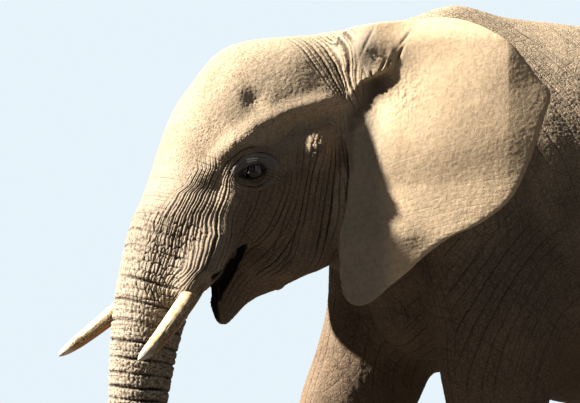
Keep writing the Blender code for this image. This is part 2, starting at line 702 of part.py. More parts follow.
def nail(foot, side, turn, fore, spare=0.0):
    """A toenail: a flattened ball let into the front of the foot."""
    x, y, rx, ry = foot
    a = math.radians(turn)
    px = x - rx * math.cos(a) * 0.965
    py = side * y + ry * math.sin(a) * 0.965
    r = (0.020 + spare, (0.040 if fore else 0.034) + spare, 0.044 + spare)
    ob = ball("nail", (0, 0, 0), r, (0, 0, 0), 8, 5)
    ob.data.transform(Matrix.Translation((px, py, 0.052)) @ Matrix.Rotation(-a, 4, "Z") @ Matrix.Rotation(math.radians(14), 4, "Y"))
    return ob


def feet():
    """Each foot's place on the floor: name, side, X, Y, half length, half width, whether it is a forefoot."""
    f, g, h = FORE_NEAR[-3], FORE_FAR[-3], HIND[-3]
    return (
        ("front_left", -1, f[1:], True),
        ("front_right", 1, g[1:], True),
        ("hind_left", -1, h[1:], False),
        ("hind_right", 1, (h[1] + HIND_STEP, *h[2:]), False),
    )


def build():
    hide = (0.085, 0.066, 0.052)
    skin = sculpt(flesh(0.014))
    co = co_of(skin.data)
    head = np.clip((0.55 - co[:, 0]) / 0.25, 0, 1) * np.clip((co[:, 2] - 1.0) / 0.3, 0, 1)
    low = np.clip((0.30 - co[:, 2]) / 0.1, 0, 1)
    trunk = np.clip((-0.1 - co[:, 0]) / 0.1, 0, 1)
    slim(skin, 3100, np.clip(0.12 + np.maximum.reduce([head * 0.24, low * 0.04, trunk * 0.24]), 0, 1))
    keep_main(skin)
    carve(skin, slab(((-3, -1), (3, -1), (3, 0.0), (-3, 0.0)), -3, 6))
    done = {}

    for name, side, foot, fore in feet():
        for k, turn in enumerate(NAIL_TURNS["front" if fore else "hind"]):
            a = nail(foot, side, turn, fore)
            carve(a, slab(((-3, -1), (3, -1), (3, 0.006), (-3, 0.006)), -3, 6))
            a.name = f"toenail_{name}_{k + 1}"
            keep_main(a)
            paint(a, (0.30, 0.25, 0.19), 0.45)
            done[a.name] = a
            carve(skin, nail(foot, side, turn, fore, GAP))
    for side, tag in ((-1, "left"), (1, "right")):
        eye = ball("eye_" + tag, (EYE[0], side * EYE[1], EYE[2]), (EYE_R,) * 3, (0, 0, 0), 14, 8)
        carve(skin, ball("socket", (EYE[0], side * EYE[1], EYE[2]), (EYE_R + GAP,) * 3, (0, 0, 0), 14, 8))
        tusk = tube("tusk_" + tag, TUSK_LEFT if side < 0 else TUSK_RIGHT, 9, 10)
        carve(skin, swell(copy_of(tusk, "socket"), 1.8 * GAP))
        keep_main(tusk)
        keep_main(eye)
        paint(eye, (0.03, 0.018, 0.01), 0.08)
        paint(tusk, (0.72, 0.62, 0.44), 0.32)
        done["eye_" + tag], done["tusk_" + tag] = eye, tusk
    wide = copy_of(skin, "wide")
    swell(wide, 2 * GAP)
    for side, tag in ((-1, "left"), (1, "right")):
        ear = slim(ear_sheet(side, 64, 12), 470)
        carve(ear, copy_of(wide, "w"))
        keep_main(ear)
        ear.name = "ear_" + tag
        paint(ear, (0.10, 0.078, 0.060), 0.75)
        done[ear.name] = ear
    bpy.data.objects.remove(wide)

    def cut(name, maker, colour=hide):
        piece = part_off(skin, name, maker)
        paint(piece, colour, 0.78)
        done[name] = piece

    for tag, side, f in (("front_left", -1, (0.45, 1.17)), ("front_right", 1, (0.10, 1.10)), ("hind_left", -1, (2.12, 2.99)), ("hind_right", 1, (2.12, 3.12))):
        lo, hi = (1.07, 1.42) if "front" in tag else (1.03, 1.50)
        knee = 0.60 if "front" in tag else 0.66
        for part, z in (("foot", -1.0), ("lower", 0.17), ("upper", knee)):
            top = {"upper": None, "lower": knee, "foot": 0.17}[part]
            if top is None:
                pts = ((0.09, z), (0.85, z), (0.85, hi), (0.09, lo))
            else:
                pts = ((0.03, z), (0.85, z), (0.85, top), (0.03, top))
            pts = [(side * y, q) for y, q in pts]
            name = f"leg_{part}_{tag}" if part != "foot" else f"foot_{tag}"
            cut(name, lambda i, p=pts, f=f: slab(p, f[0], f[1], i))
    line = lambda z: 0.46 + (z - 1.4) * 0.2167
    cut("tail", lambda i: prism(((3.192, 0.5), (3.6, 0.5), (3.6, 2.3), (3.192, 2.3)), -0.3, 0.3, i), hide)
    for name, a, b in (("trunk_tip", 0.34, -0.5), ("trunk_lower", 0.68, 0.34), ("trunk_middle", 1.02, 0.68), ("trunk_upper", 1.385, 1.02)):
        cut(name, lambda i, a=a, b=b: prism(((-1.2, a - 0.09), (-0.215, a), (-0.215, b), (-1.2, b - 0.09)), -0.6, 0.6, i))
    cut("lower_jaw", lambda i: prism(((-0.10, 1.60), (0.30, 1.60), (0.30, 1.0), (-0.35, 1.0), (-0.215, 1.40)), -0.6, 0.6, i))
    cut("head", lambda i: prism(((-1.5, 1.2), (0.36, 1.2), (0.36, 3.0), (-1.5, 3.0)), -1, 1, i))
    cut("neck", lambda i: prism(((0.2, 1.0), (line(1.0), 1.0), (line(3.0), 3.0), (0.2, 3.0)), -1, 1, i))
    skin.name = "torso"
    keep_main(skin)
    paint(skin, hide, 0.78)
    done["torso"] = skin
    tuft = tube("tail_tuft", TUFT, 9, 12)
    level = TUFT[1][2]
    carve(tuft, slab(((-3, level - GAP), (3, level - GAP), (3, 3), (-3, 3)), 2, 4))
    carve(done["tail"], slab(((-3, 0), (3, 0), (3, level), (-3, level)), 2, 4))
    keep_main(done["tail"])
    keep_main(tuft)
    paint(tuft, (0.02, 0.016, 0.013), 0.6)
    done["tail_tuft"] = tuft
    return done


def stand(done):
    """Centres the animal over the origin, its soles on the floor."""
    lo, hi = np.full(3, 1e9), np.full(3, -1e9)
    for ob in done.values():
        co = co_of(ob.data)
        lo, hi = np.minimum(lo, co.min(0)), np.maximum(hi, co.max(0))
    move = Matrix.Translation((-(lo[0] + hi[0]) / 2, -(lo[1] + hi[1]) / 2, -lo[2]))
    for ob in done.values():
        ob.data.transform(move)
        ob.data.update()
    return (lo[0] + hi[0]) / 2, (lo[1] + hi[1]) / 2, lo[2]


for old in list(bpy.data.objects):
    bpy.data.objects.remove(old)
pieces = build()
shift = stand(pieces)
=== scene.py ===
"""The looks of the elephant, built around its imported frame: one wrinkled skin over the flesh, eyes with lids and lashes, tusks, toenails and the tail's hair."""

import math

import bmesh
import bpy
import numpy as np
from mathutils import Matrix, Vector


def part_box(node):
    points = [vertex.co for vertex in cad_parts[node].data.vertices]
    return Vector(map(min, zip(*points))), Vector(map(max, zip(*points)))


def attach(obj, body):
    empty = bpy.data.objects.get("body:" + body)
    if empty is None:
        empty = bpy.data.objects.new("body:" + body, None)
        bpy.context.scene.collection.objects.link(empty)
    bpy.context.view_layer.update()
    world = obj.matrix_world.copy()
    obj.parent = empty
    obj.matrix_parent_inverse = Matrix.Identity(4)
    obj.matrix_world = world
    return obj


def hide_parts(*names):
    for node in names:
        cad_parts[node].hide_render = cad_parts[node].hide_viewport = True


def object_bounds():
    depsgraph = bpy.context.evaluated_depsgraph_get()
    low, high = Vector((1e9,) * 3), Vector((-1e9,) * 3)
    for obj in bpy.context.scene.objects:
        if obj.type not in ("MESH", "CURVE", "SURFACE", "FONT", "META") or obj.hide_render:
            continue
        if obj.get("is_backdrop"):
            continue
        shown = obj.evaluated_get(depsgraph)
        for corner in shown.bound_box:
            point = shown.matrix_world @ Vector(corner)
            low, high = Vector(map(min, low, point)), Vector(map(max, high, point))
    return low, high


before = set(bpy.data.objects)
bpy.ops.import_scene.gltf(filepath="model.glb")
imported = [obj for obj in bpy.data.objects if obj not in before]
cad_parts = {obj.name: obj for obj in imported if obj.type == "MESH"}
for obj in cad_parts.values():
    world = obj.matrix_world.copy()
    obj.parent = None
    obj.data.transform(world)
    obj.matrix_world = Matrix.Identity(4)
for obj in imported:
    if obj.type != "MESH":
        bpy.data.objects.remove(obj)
FIRST_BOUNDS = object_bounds()

KEY, KEY_SIZE, KEY_FROM, FILL = 14.8, 3.0, (-0.72, 0.275, 0.635), 0.105

# ---------------------------------------------------------------- sizes, in metres
# X runs from trunk (minus) to tail (plus), the animal's left side is at minus Y, and the floor is at Z = 0.
# In the tables X is counted from a line just behind the eyes; the whole animal is centred over the origin at the end.
EYE = (-0.124, 0.248, 1.842)  # centre of an eyeball
EYE_R = 0.034

# The body from neck to rump: X, top, bottom, half width, height of the widest line, fullness above and below it
BODY = (
    (0.10, 2.360, 1.640, 0.250, 1.98, 2.0, 2.0),
    (0.30, 2.418, 1.560, 0.300, 1.95, 2.0, 2.1),
    (0.50, 2.445, 1.400, 0.345, 1.88, 1.9, 2.1),
    (0.70, 2.500, 1.250, 0.390, 1.78, 1.8, 2.1),
    (0.90, 2.558, 1.110, 0.450, 1.66, 1.55, 2.1),
    (1.10, 2.520, 1.040, 0.520, 1.58, 1.7, 2.2),
    (1.40, 2.505, 0.990, 0.600, 1.52, 1.75, 2.2),
    (1.75, 2.495, 0.940, 0.655, 1.50, 1.8, 2.2),
    (2.10, 2.510, 0.920, 0.660, 1.52, 1.75, 2.2),
    (2.45, 2.500, 0.980, 0.600, 1.60, 1.7, 2.2),
    (2.75, 2.385, 1.120, 0.510, 1.68, 1.8, 2.1),
    (2.98, 2.190, 1.280, 0.400, 1.72, 2.0, 2.1),
    (3.12, 2.020, 1.450, 0.250, 1.74, 2.0, 2.0),
    (3.18, 1.900, 1.600, 0.110, 1.75, 2.0, 2.0),
)
# The head in level slices: Z, front X, X of the widest line, half width, back X, squareness
HEAD = (
    (2.412, 0.310, 0.440, 0.040, 0.56, 2.0),
    (2.394, 0.135, 0.400, 0.090, 0.60, 2.0),
    (2.372, -0.025, 0.340, 0.130, 0.62, 2.0),
    (2.346, -0.108, 0.300, 0.165, 0.62, 2.0),
    (2.300, -0.175, 0.260, 0.200, 0.62, 2.0),
    (2.200, -0.252, 0.200, 0.240, 0.62, 2.1),
    (2.100, -0.322, 0.160, 0.268, 0.60, 2.2),
    (2.000, -0.365, 0.120, 0.285, 0.58, 2.2),
    (1.900, -0.398, 0.080, 0.295, 0.55, 2.2),
    (1.800, -0.430, 0.040, 0.300, 0.50, 2.3),
    (1.700, -0.462, 0.000, 0.290, 0.42, 2.3),
    (1.620, -0.462, -0.030, 0.265, 0.34, 2.2),
    (1.570, -0.420, -0.050, 0.215, 0.28, 2.1),
)
# The trunk's middle line from the face to its tip: X, Y, Z, half depth, half width
TRUNK = (
    (-0.252, 0, 1.741, 0.188, 0.200),
    (-0.290, 0, 1.679, 0.182, 0.195),
    (-0.331, 0, 1.613, 0.176, 0.190),
    (-0.364, 0, 1.542, 0.168, 0.182),
    (-0.395, 0, 1.460, 0.158, 0.170),
    (-0.4265, 0, 1.370, 0.146, 0.155),
    (-0.461, 0, 1.217, 0.131, 0.135),
    (-0.4915, 0, 0.974, 0.1125, 0.114),
    (-0.512, 0, 0.800, 0.098, 0.100),
    (-0.518, 0, 0.600, 0.085, 0.087),
    (-0.503, 0, 0.400, 0.073, 0.076),
    (-0.468, 0, 0.250, 0.064, 0.067),
    (-0.416, 0, 0.160, 0.058, 0.062),
    (-0.351, 0, 0.118, 0.052, 0.058),
    (-0.301, 0, 0.115, 0.046, 0.052),
)
# Each tusk's middle line: X, Y, Z, radius. It is rooted in the face and leaves the lip at the third row. The left one hangs a little lower.
TUSK_LEFT = (
    (-0.235, -0.150, 1.600, 0.036),
    (-0.298, -0.181, 1.482, 0.036),
    (-0.367, -0.214, 1.382, 0.036),
    (-0.428, -0.247, 1.318, 0.035),
    (-0.489, -0.280, 1.258, 0.033),
    (-0.571, -0.322, 1.184, 0.027),
    (-0.617, -0.343, 1.150, 0.020),
    (-0.644, -0.355, 1.130, 0.012),
    (-0.656, -0.360, 1.122, 0.004),
)
TUSK_RIGHT = (
    (-0.235, 0.150, 1.600, 0.036),
    (-0.305, 0.185, 1.490, 0.036),
    (-0.380, 0.230, 1.398, 0.035),
    (-0.468, 0.277, 1.318, 0.033),
    (-0.528, 0.303, 1.264, 0.029),
    (-0.603, 0.334, 1.202, 0.0235),
    (-0.646, 0.353, 1.168, 0.013),
    (-0.660, 0.360, 1.157, 0.004),
)
# The sheath of flesh around a tusk's root
SHEATH = (
    (-0.150, 0.120, 1.800, 0.100),
    (-0.200, 0.140, 1.680, 0.105),
    (-0.265, 0.168, 1.560, 0.100),
    (-0.325, 0.193, 1.470, 0.088),
    (-0.366, 0.211, 1.413, 0.070),
    (-0.374, 0.214, 1.402, 0.050),
)
# The lower jaw, cut across X: X, top, bottom, half width at the top, half width at the bottom
JAW = (
    (0.420, 1.780, 1.560, 0.240, 0.120),
    (0.300, 1.770, 1.502, 0.262, 0.155),
    (0.180, 1.750, 1.455, 0.262, 0.160),
    (0.080, 1.710, 1.407, 0.238, 0.140),
    (0.000, 1.670, 1.377, 0.190, 0.110),
    (-0.060, 1.620, 1.335, 0.130, 0.078),
    (-0.105, 1.570, 1.282, 0.090, 0.056),
    (-0.138, 1.530, 1.256, 0.072, 0.044),
    (-0.162, 1.505, 1.288, 0.062, 0.038),
    (-0.184, 1.480, 1.345, 0.052, 0.036),
)
# Legs in level slices: Z, X, Y, half length, half width (right side; the left side is at minus Y)
FORE_NEAR = (
    (2.05, 0.88, 0.26, 0.10, 0.08),
    (1.90, 0.87, 0.31, 0.25, 0.13),
    (1.60, 0.87, 0.34, 0.315, 0.15),
    (1.35, 0.886, 0.345, 0.287, 0.165),
    (1.23, 0.891, 0.340, 0.268, 0.165),
    (1.13, 0.888, 0.335, 0.253, 0.163),
    (1.03, 0.890, 0.328, 0.231, 0.157),
    (0.97, 0.890, 0.325, 0.214, 0.155),
    (0.75, 0.898, 0.315, 0.172, 0.145),
    (0.55, 0.910, 0.305, 0.155, 0.145),
    (0.35, 0.920, 0.300, 0.145, 0.140),
    (0.18, 0.920, 0.300, 0.162, 0.158),
    (0.06, 0.915, 0.300, 0.190, 0.186),
    (0.02, 0.910, 0.300, 0.192, 0.189),
    (-0.02, 0.910, 0.300, 0.180, 0.177),
)
FORE_FAR = (
    (2.05, 0.86, 0.26, 0.10, 0.08),
    (1.90, 0.85, 0.31, 0.25, 0.13),
    (1.60, 0.835, 0.34, 0.305, 0.15),
    (1.42, 0.805, 0.345, 0.290, 0.160),
    (1.34, 0.788, 0.345, 0.285, 0.165),
    (1.22, 0.741, 0.340, 0.275, 0.165),
    (1.09, 0.674, 0.330, 0.264, 0.162),
    (0.98, 0.624, 0.325, 0.254, 0.157),
    (0.75, 0.540, 0.310, 0.190, 0.145),
    (0.55, 0.475, 0.300, 0.160, 0.145),
    (0.35, 0.415, 0.295, 0.146, 0.140),
    (0.18, 0.375, 0.295, 0.162, 0.158),
    (0.06, 0.350, 0.295, 0.190, 0.186),
    (0.02, 0.345, 0.295, 0.192, 0.189),
    (-0.02, 0.345, 0.295, 0.180, 0.177),
)
HIND = (
    (2.10, 2.52, 0.26, 0.16, 0.10),
    (1.90, 2.53, 0.33, 0.36, 0.16),
    (1.60, 2.54, 0.37, 0.41, 0.19),
    (1.30, 2.49, 0.375, 0.355, 0.190),
    (1.05, 2.43, 0.355, 0.270, 0.170),
    (0.85, 2.43, 0.335, 0.212, 0.155),
    (0.65, 2.49, 0.315, 0.172, 0.140),
    (0.45, 2.545, 0.300, 0.146, 0.130),
    (0.28, 2.550, 0.295, 0.136, 0.126),
    (0.15, 2.540, 0.295, 0.152, 0.140),
    (0.06, 2.525, 0.295, 0.182, 0.158),
    (0.02, 2.520, 0.295, 0.184, 0.160),
    (-0.02, 2.520, 0.295, 0.172, 0.150),
)
HIND_STEP = 0.20  # how much farther back the right hind foot stands than the left one
TAIL = (
    (2.96, 0, 2.080, 0.085),
    (3.10, 0, 2.045, 0.070),
    (3.205, 0, 1.920, 0.056),
    (3.255, 0, 1.680, 0.045),
    (3.265, 0, 1.380, 0.037),
    (3.250, 0, 1.080, 0.030),
    (3.235, 0, 0.880, 0.025),
    (3.232, 0, 0.840, 0.018),
)
TUFT = (
    (3.246, 0, 0.980, 0.028),
    (3.240, 0, 0.925, 0.033),
    (3.236, 0, 0.840, 0.042),
    (3.234, 0, 0.740, 0.045),
    (3.236, 0, 0.620, 0.036),
    (3.240, 0, 0.520, 0.014),
)
# The ear: a sheet rooted on a line behind the cheek, turned out from the neck by EAR_OPEN
EAR_ROOT = (0.250, 0.330)
EAR_OPEN = math.radians(35)
# Its outline round from the root's top: distance back from the root line, height
EAR_OUTLINE = (
    (-0.050, 2.385), (-0.005, 2.411), (0.071, 2.425), (0.168, 2.438), (0.264, 2.446), (0.328, 2.447),
    (0.393, 2.441), (0.444, 2.428), (0.494, 2.409), (0.543, 2.380), (0.586, 2.350), (0.630, 2.305),
    (0.674, 2.249), (0.719, 2.192), (0.748, 2.164), (0.756, 2.138), (0.732, 2.065), (0.700, 1.964),
    (0.660, 1.850), (0.615, 1.763), (0.583, 1.726), (0.483, 1.651), (0.438, 1.628), (0.386, 1.607),
    (0.298, 1.549), (0.210, 1.466), (0.149, 1.421), (0.075, 1.359), (0.044, 1.346), (0.012, 1.346),
    (-0.016, 1.362), (-0.032, 1.391), (-0.046, 1.470), (-0.045, 1.568), (-0.035, 1.631), (-0.016, 1.694),
    (0.000, 1.790), (0.000, 2.000), (-0.010, 2.200), (-0.035, 2.320),
)
EAR_ROOT_LINE = ((-0.02, 2.30), (0.0, 2.15), (0.0, 1.95), (-0.03, 1.80))


# ---------------------------------------------------------------- curves and lofts
def steady(table, at):
    """A table's columns read at new values of its first one, by a cubic that keeps to the table's rises and falls."""
    t = np.array(table, float)
    if t[0, 0] > t[-1, 0]:
        t = t[::-1]
    x, y = t[:, 0], t[:, 1:]
    h = np.diff(x)
    d = np.diff(y, axis=0) / h[:, None]
    m = np.zeros_like(y)
    same = d[:-1] * d[1:] > 0
    w1, w2 = (2 * h[1:] + h[:-1])[:, None], (h[1:] + 2 * h[:-1])[:, None]
    safe = np.where(same, d[:-1], 1.0), np.where(same, d[1:], 1.0)
    m[1:-1] = np.where(same, (w1 + w2) / (w1 / safe[0] + w2 / safe[1]), 0.0)
    m[0], m[-1] = d[0], d[-1]
    at = np.clip(np.asarray(at, float), x[0], x[-1])
    i = np.clip(np.searchsorted(x, at, side="right") - 1, 0, len(x) - 2)
    s = ((at - x[i]) / h[i])[:, None]
    hh = h[i][:, None]
    return (
        (2 * s**3 - 3 * s**2 + 1) * y[i]
        + (s**3 - 2 * s**2 + s) * hh * m[i]
        + (-2 * s**3 + 3 * s**2) * y[i + 1]
        + (s**3 - s**2) * hh * m[i + 1]
    )


def flowing(rows, count, closed=False):
    """Rows spaced evenly along a smooth curve through the given ones."""
    p = np.array(rows, float)
    if closed:
        p = np.vstack([p[-2:], p, p[:3]])
    gap = np.linalg.norm(np.diff(p[:, : min(3, p.shape[1])], axis=0), axis=1) ** 0.7
    t = np.concatenate([[0], np.cumsum(gap)])
    d = np.diff(p, axis=0) / gap[:, None]
    m = np.empty_like(p)
    m[1:-1] = (d[:-1] * gap[1:, None] + d[1:] * gap[:-1, None]) / (gap[:-1] + gap[1:])[:, None]
    m[0], m[-1] = d[0], d[-1]
    lo, hi = (t[2], t[-3]) if closed else (t[0], t[-1])

    def at(q):
        i = np.clip(np.searchsorted(t, q, side="right") - 1, 0, len(t) - 2)
        s = ((q - t[i]) / gap[i])[:, None]
        g = gap[i][:, None]
        return (
            (2 * s**3 - 3 * s**2 + 1) * p[i]
            + (s**3 - 2 * s**2 + s) * g * m[i]
            + (-2 * s**3 + 3 * s**2) * p[i + 1]
            + (s**3 - s**2) * g * m[i + 1]
        )

    fine = at(np.linspace(lo, hi, 600))
    run = np.concatenate([[0], np.cumsum(np.linalg.norm(np.diff(fine[:, : min(3, p.shape[1])], axis=0), axis=1))])
    want = np.linspace(0, run[-1], count + 1)[:-1] if closed else np.linspace(0, run[-1], count)
    return np.stack([np.interp(want, run, fine[:, k]) for k in range(fine.shape[1])], 1)


def power_ring(n, segs, start=0.0):
    """Cosines and sines of a ring, squared off by the power n."""
    a = np.arange(segs) / segs * 2 * math.pi + start
    c, s = np.cos(a), np.sin(a)
    return np.sign(c) * np.abs(c) ** (2 / n), np.sign(s) * np.abs(s) ** (2 / n)


def loft(name, rings, points=None):
    """A closed skin over rings of equally many points, its ends closed flat."""
    bm = bmesh.new()
    rows = [[bm.verts.new(p) for p in ring] for ring in rings]
    n = len(rows[0])
    for a, b in zip(rows, rows[1:]):
        for i in range(n):
            bm.faces.new((a[i], a[(i + 1) % n], b[(i + 1) % n], b[i]))
    bm.faces.new(rows[0][::-1])
    bm.faces.new(rows[-1])
    return body(name, bm)


def body(name, bm):
    bmesh.ops.recalc_face_normals(bm, faces=bm.faces)
    mesh = bpy.data.meshes.new(name)
    bm.to_mesh(mesh)
    bm.free()
    ob = bpy.data.objects.new(name, mesh)
    bpy.context.scene.collection.objects.link(ob)
    return ob


def tube(name, rows, count, segs, flat=0.0):
    """A round body along a middle line. Rows are X, Y, Z and a radius, or half depth and half width."""
    r = flowing(rows, count)
    c = r[:, :3]
    ra, rb = r[:, 3], r[:, 4] if r.shape[1] > 4 else r[:, 3]
    d = np.gradient(c, axis=0)
    d /= np.linalg.norm(d, axis=1)[:, None]
    side = np.cross(d, (0, 1, 0) if abs(d[0][1]) < 0.9 else (1, 0, 0))
    side /= np.linalg.norm(side, axis=1)[:, None]
    up = np.cross(d, side)
    a = np.arange(segs) / segs * 2 * math.pi
    rings = []
    for k in range(len(c)):
        u = np.cos(a)[:, None] * side[k] * ra[k]
        v = np.sin(a)[:, None] * up[k] * rb[k]
        rings.append(c[k] + u + v)
    return loft(name, rings)


def ball(name, centre, radii, turn=(0, 0, 0), segs=24, rings=14):
    bm = bmesh.new()
    bmesh.ops.create_uvsphere(bm, u_segments=segs, v_segments=rings, radius=1.0)
    rot = Matrix.Rotation(math.radians(turn[2]), 4, "Z") @ Matrix.Rotation(math.radians(turn[1]), 4, "Y") @ Matrix.Rotation(math.radians(turn[0]), 4, "X")
    bm.transform(Matrix.Translation(centre) @ rot @ Matrix.Diagonal((*radii, 1)))
    return body(name, bm)


def body_loft(segs=48, count=60):
    x = np.linspace(BODY[0][0], BODY[-1][0], count)
    t = steady(BODY, x)
    rings = []
    for k in range(count):
        top, bottom, w, mid, n1, n2 = t[k]
        c1, s1 = power_ring(n1, segs)
        c2, s2 = power_ring(n2, segs)
        up = s1 >= 0
        y = np.where(up, c1, c2) * w
        z = np.where(up, mid + s1 * (top - mid), mid + s2 * (mid - bottom))
        rings.append(np.stack([np.full(segs, x[k]), y, z], 1))
    return loft("body", rings)


def head_loft(segs=56, count=44):
    zs = np.linspace(HEAD[0][0], HEAD[-1][0], count)
    t = steady(HEAD, zs)
    rings = []
    for k in range(count):
        front, mid, w, back, n = t[k]
        c, s = power_ring(n, segs)
        x = np.where(c < 0, mid + c * (mid - front), mid + c * (back - mid))
        rings.append(np.stack([x, s * w, np.full(segs, zs[k])], 1))
    return loft("head", rings)


def jaw_loft(segs=28, count=20):
    x = np.linspace(JAW[0][0], JAW[-1][0], count)
    t = steady(JAW, x)
    rings = []
    for k in range(count):
        top, bottom, wt, wb = t[k]
        a = np.arange(segs) / segs * 2 * math.pi
        s, c = np.sin(a), np.cos(a)
        w = wb + (wt - wb) * (s + 1) / 2
        rings.append(np.stack([np.full(segs, x[k]), np.sign(c) * np.abs(c) ** 0.85 * w, (top + bottom) / 2 + s * (top - bottom) / 2], 1))
    return loft("jaw", rings)


def leg_loft(name, table, side, shift=0.0, segs=32, count=44):
    z = np.linspace(table[0][0], table[-1][0], count)
    t = steady(table, z)
    a = np.arange(segs) / segs * 2 * math.pi
    rings = []
    for k in range(count):
        x, y, rx, ry = t[k]
        back = shift * min(1.0, max(0.0, (1.5 - z[k]) / 1.3))
        rings.append(np.stack([x + back + np.cos(a) * rx, side * y + np.sin(a) * ry, np.full(segs, z[k])], 1))
    return loft(name, rings)


def mirrored(rows, side):
    return [(r[0], r[1] * side, *r[2:]) for r in rows]


# ---------------------------------------------------------------- work on whole bodies
def apply_all(ob):
    """Every modifier's result, as the object's own mesh."""
    dg = bpy.context.evaluated_depsgraph_get()
    mesh = bpy.data.meshes.new_from_object(ob.evaluated_get(dg))
    old = ob.data
    ob.modifiers.clear()
    ob.data = mesh
    if not old.users:
        bpy.data.meshes.remove(old)
    return ob


def joined(name, obs):
    bm = bmesh.new()
    for ob in obs:
        bm.from_mesh(ob.data)
        bpy.data.objects.remove(ob)
    mesh = bpy.data.meshes.new(name)
    bm.to_mesh(mesh)
    bm.free()
    out = bpy.data.objects.new(name, mesh)
    bpy.context.scene.collection.objects.link(out)
    return out


def remesh(ob, voxel):
    m = ob.modifiers.new("remesh", "REMESH")
    m.mode = "VOXEL"
    m.voxel_size = voxel
    return apply_all(ob)


def swell(ob, by):
    m = ob.modifiers.new("swell", "DISPLACE")
    m.mid_level = 0.0
    m.strength = by
    return apply_all(ob)


def relax(ob, factor, times):
    m = ob.modifiers.new("relax", "SMOOTH")
    m.factor = factor
    m.iterations = times
    return apply_all(ob)


def fillet(ob, radius, voxel):
    """Fills the inner corners to about this radius, leaving the outer shape as it is."""
    steps = max(1, int(round(radius / 0.02)))
    for _ in range(steps):
        swell(ob, radius / steps)
        remesh(ob, voxel)
    for _ in range(steps):
        swell(ob, -radius / steps)
        relax(ob, 0.5, 1)
    return ob


def co_of(mesh):
    co = np.empty(len(mesh.vertices) * 3)
    mesh.vertices.foreach_get("co", co)
    return co.reshape(-1, 3)


def normals_of(mesh):
    n = np.empty(len(mesh.vertices) * 3, np.float32)
    mesh.vertex_normals.foreach_get("vector", n)
    return n.reshape(-1, 3).astype(float)


def set_co(mesh, co):
    mesh.vertices.foreach_set("co", np.ascontiguousarray(co, dtype=np.float64).ravel())
    mesh.update()


# ---------------------------------------------------------------- the ear
def ear_frame(side):
    """The ear's own directions: back along its sheet, and out of its front face."""
    c, s = math.cos(EAR_OPEN), math.sin(EAR_OPEN)
    return np.array([EAR_ROOT[0], side * EAR_ROOT[1], 0.0]), np.array([c, side * s, 0.0]), np.array([-s, side * c, 0.0])


def ear_rim(side, segs):
    """The outline, evenly spaced. The right ear's lobe hangs a little shorter than the left one's."""
    rim = flowing([(t, z, 0.0) for t, z in EAR_OUTLINE], segs, closed=True)[:, :2]
    if side > 0:
        rim[:, 1] += 0.085 * np.clip((1.75 - rim[:, 1]) / 0.40, 0, 1)
    return rim


def bell(t, z, t0, z0, wt, wz):
    return np.exp(-(((t - t0) / wt) ** 2) - ((z - z0) / wz) ** 2)


def ear_bend(t, z):
    """How far the sheet stands out of its flat plane toward its front face."""
    t, z = np.asarray(t, float), np.asarray(z, float)
    out = 0.055 * bell(t, z, 0.055, 2.34, 0.10, 0.085)  # the roll over the root
    out += 0.020 * bell(t, z, 0.16, 2.30, 0.08, 0.10)
    out -= 0.024 * bell(t, z, 0.095, 2.12, 0.06, 0.12)  # the hollow under it
    out -= 0.022 * bell(t, z, 0.070, 1.85, 0.06, 0.16)
    out += 0.022 * bell(t, z, 0.300, 2.02, 0.17, 0.22)  # the full middle of the sheet
    out -= 0.075 * np.clip((t - 0.34) / 0.42, 0, 1) ** 2  # its back edge turns in
    out -= 0.050 * np.clip((z - 2.34) / 0.11, 0, 1) ** 2 * np.clip((t - 0.10) / 0.15, 0, 1)
    out -= 0.018 * bell(t, z, 0.42, 1.80, 0.10, 0.10)
    out += 0.016 * bell(t, z, 0.18, 1.62, 0.09, 0.10)
    out += 0.006 * np.sin(t * 21 + z * 11) * np.clip(t / 0.2, 0, 1)
    return out


def ear_lean(t, z):
    """How far the sheet is set in toward the neck: little at the cheek, more at the top, where the head is narrow."""
    rise = np.clip((z - 1.85) / 0.50, 0, 1)
    return (0.035 * np.clip((z - 1.60) / 0.2, 0, 1) + 0.125 * rise * rise * (3 - 2 * rise)) * np.clip(1 - t / 0.60, 0, 1)


def ear_thick(t, z, edge):
    """The sheet's thickness: stout at the root and in the roll, thin at the rim."""
    root = np.clip(1 - np.abs(t) / 0.20, 0, 1) * np.clip((z - 1.66) / 0.2, 0, 1)
    return 0.013 + 0.055 * root**1.4 + 0.012 * edge + 0.020 * bell(t, z, 0.05, 2.34, 0.09, 0.08)


def ear_sheet(side, segs=72, rows=16, spare=0.0, grow=0.0):
    """One ear as a closed sheet, a fan of rings from its middle out to its outline."""
    rim = ear_rim(side, segs)
    root, e, n = ear_frame(side)
    sink = np.array([math.sin(math.radians(27)), -side * math.cos(math.radians(27)), 0.0])
    centre = np.array([[0.14, 2.03]])

    def place(p, edge, face):
        t, z = p[:, 0], p[:, 1]
        off = ear_bend(t, z) + face * np.maximum(ear_thick(t, z, edge) / 2, spare)
        return root + t[:, None] * e + off[:, None] * n + ear_lean(t, z)[:, None] * sink + z[:, None] * np.array([0, 0, 1.0])

    bm = bmesh.new()
    share = np.linspace(0, 1, rows) ** 0.85
    out = rim - centre
    out = out * (1 + grow / np.linalg.norm(out, axis=1))[:, None]
    sheets = []
    for face in (1, -1):
        c = bm.verts.new(place(centre, 1.0, face)[0])
        rings = [[bm.verts.new(q) for q in place(centre + out * s, 1 - s, face)] for s in share[1:]]
        k = segs
        for i in range(k):
            bm.faces.new((c, rings[0][i], rings[0][(i + 1) % k]))
        for a, b in zip(rings, rings[1:]):
            for i in range(k):
                bm.faces.new((a[i], b[i], b[(i + 1) % k], a[(i + 1) % k]))
        sheets.append(rings[-1])
    edge = [bm.verts.new(q) for q in place(centre + out * (1 + 0.006 / np.linalg.norm(out, axis=1))[:, None], 0.0, 0)]
    for a in (sheets[0], sheets[1]):
        for i in range(k):
            bm.faces.new((a[i], edge[i], edge[(i + 1) % k], a[(i + 1) % k]))
    return body("ear", bm)


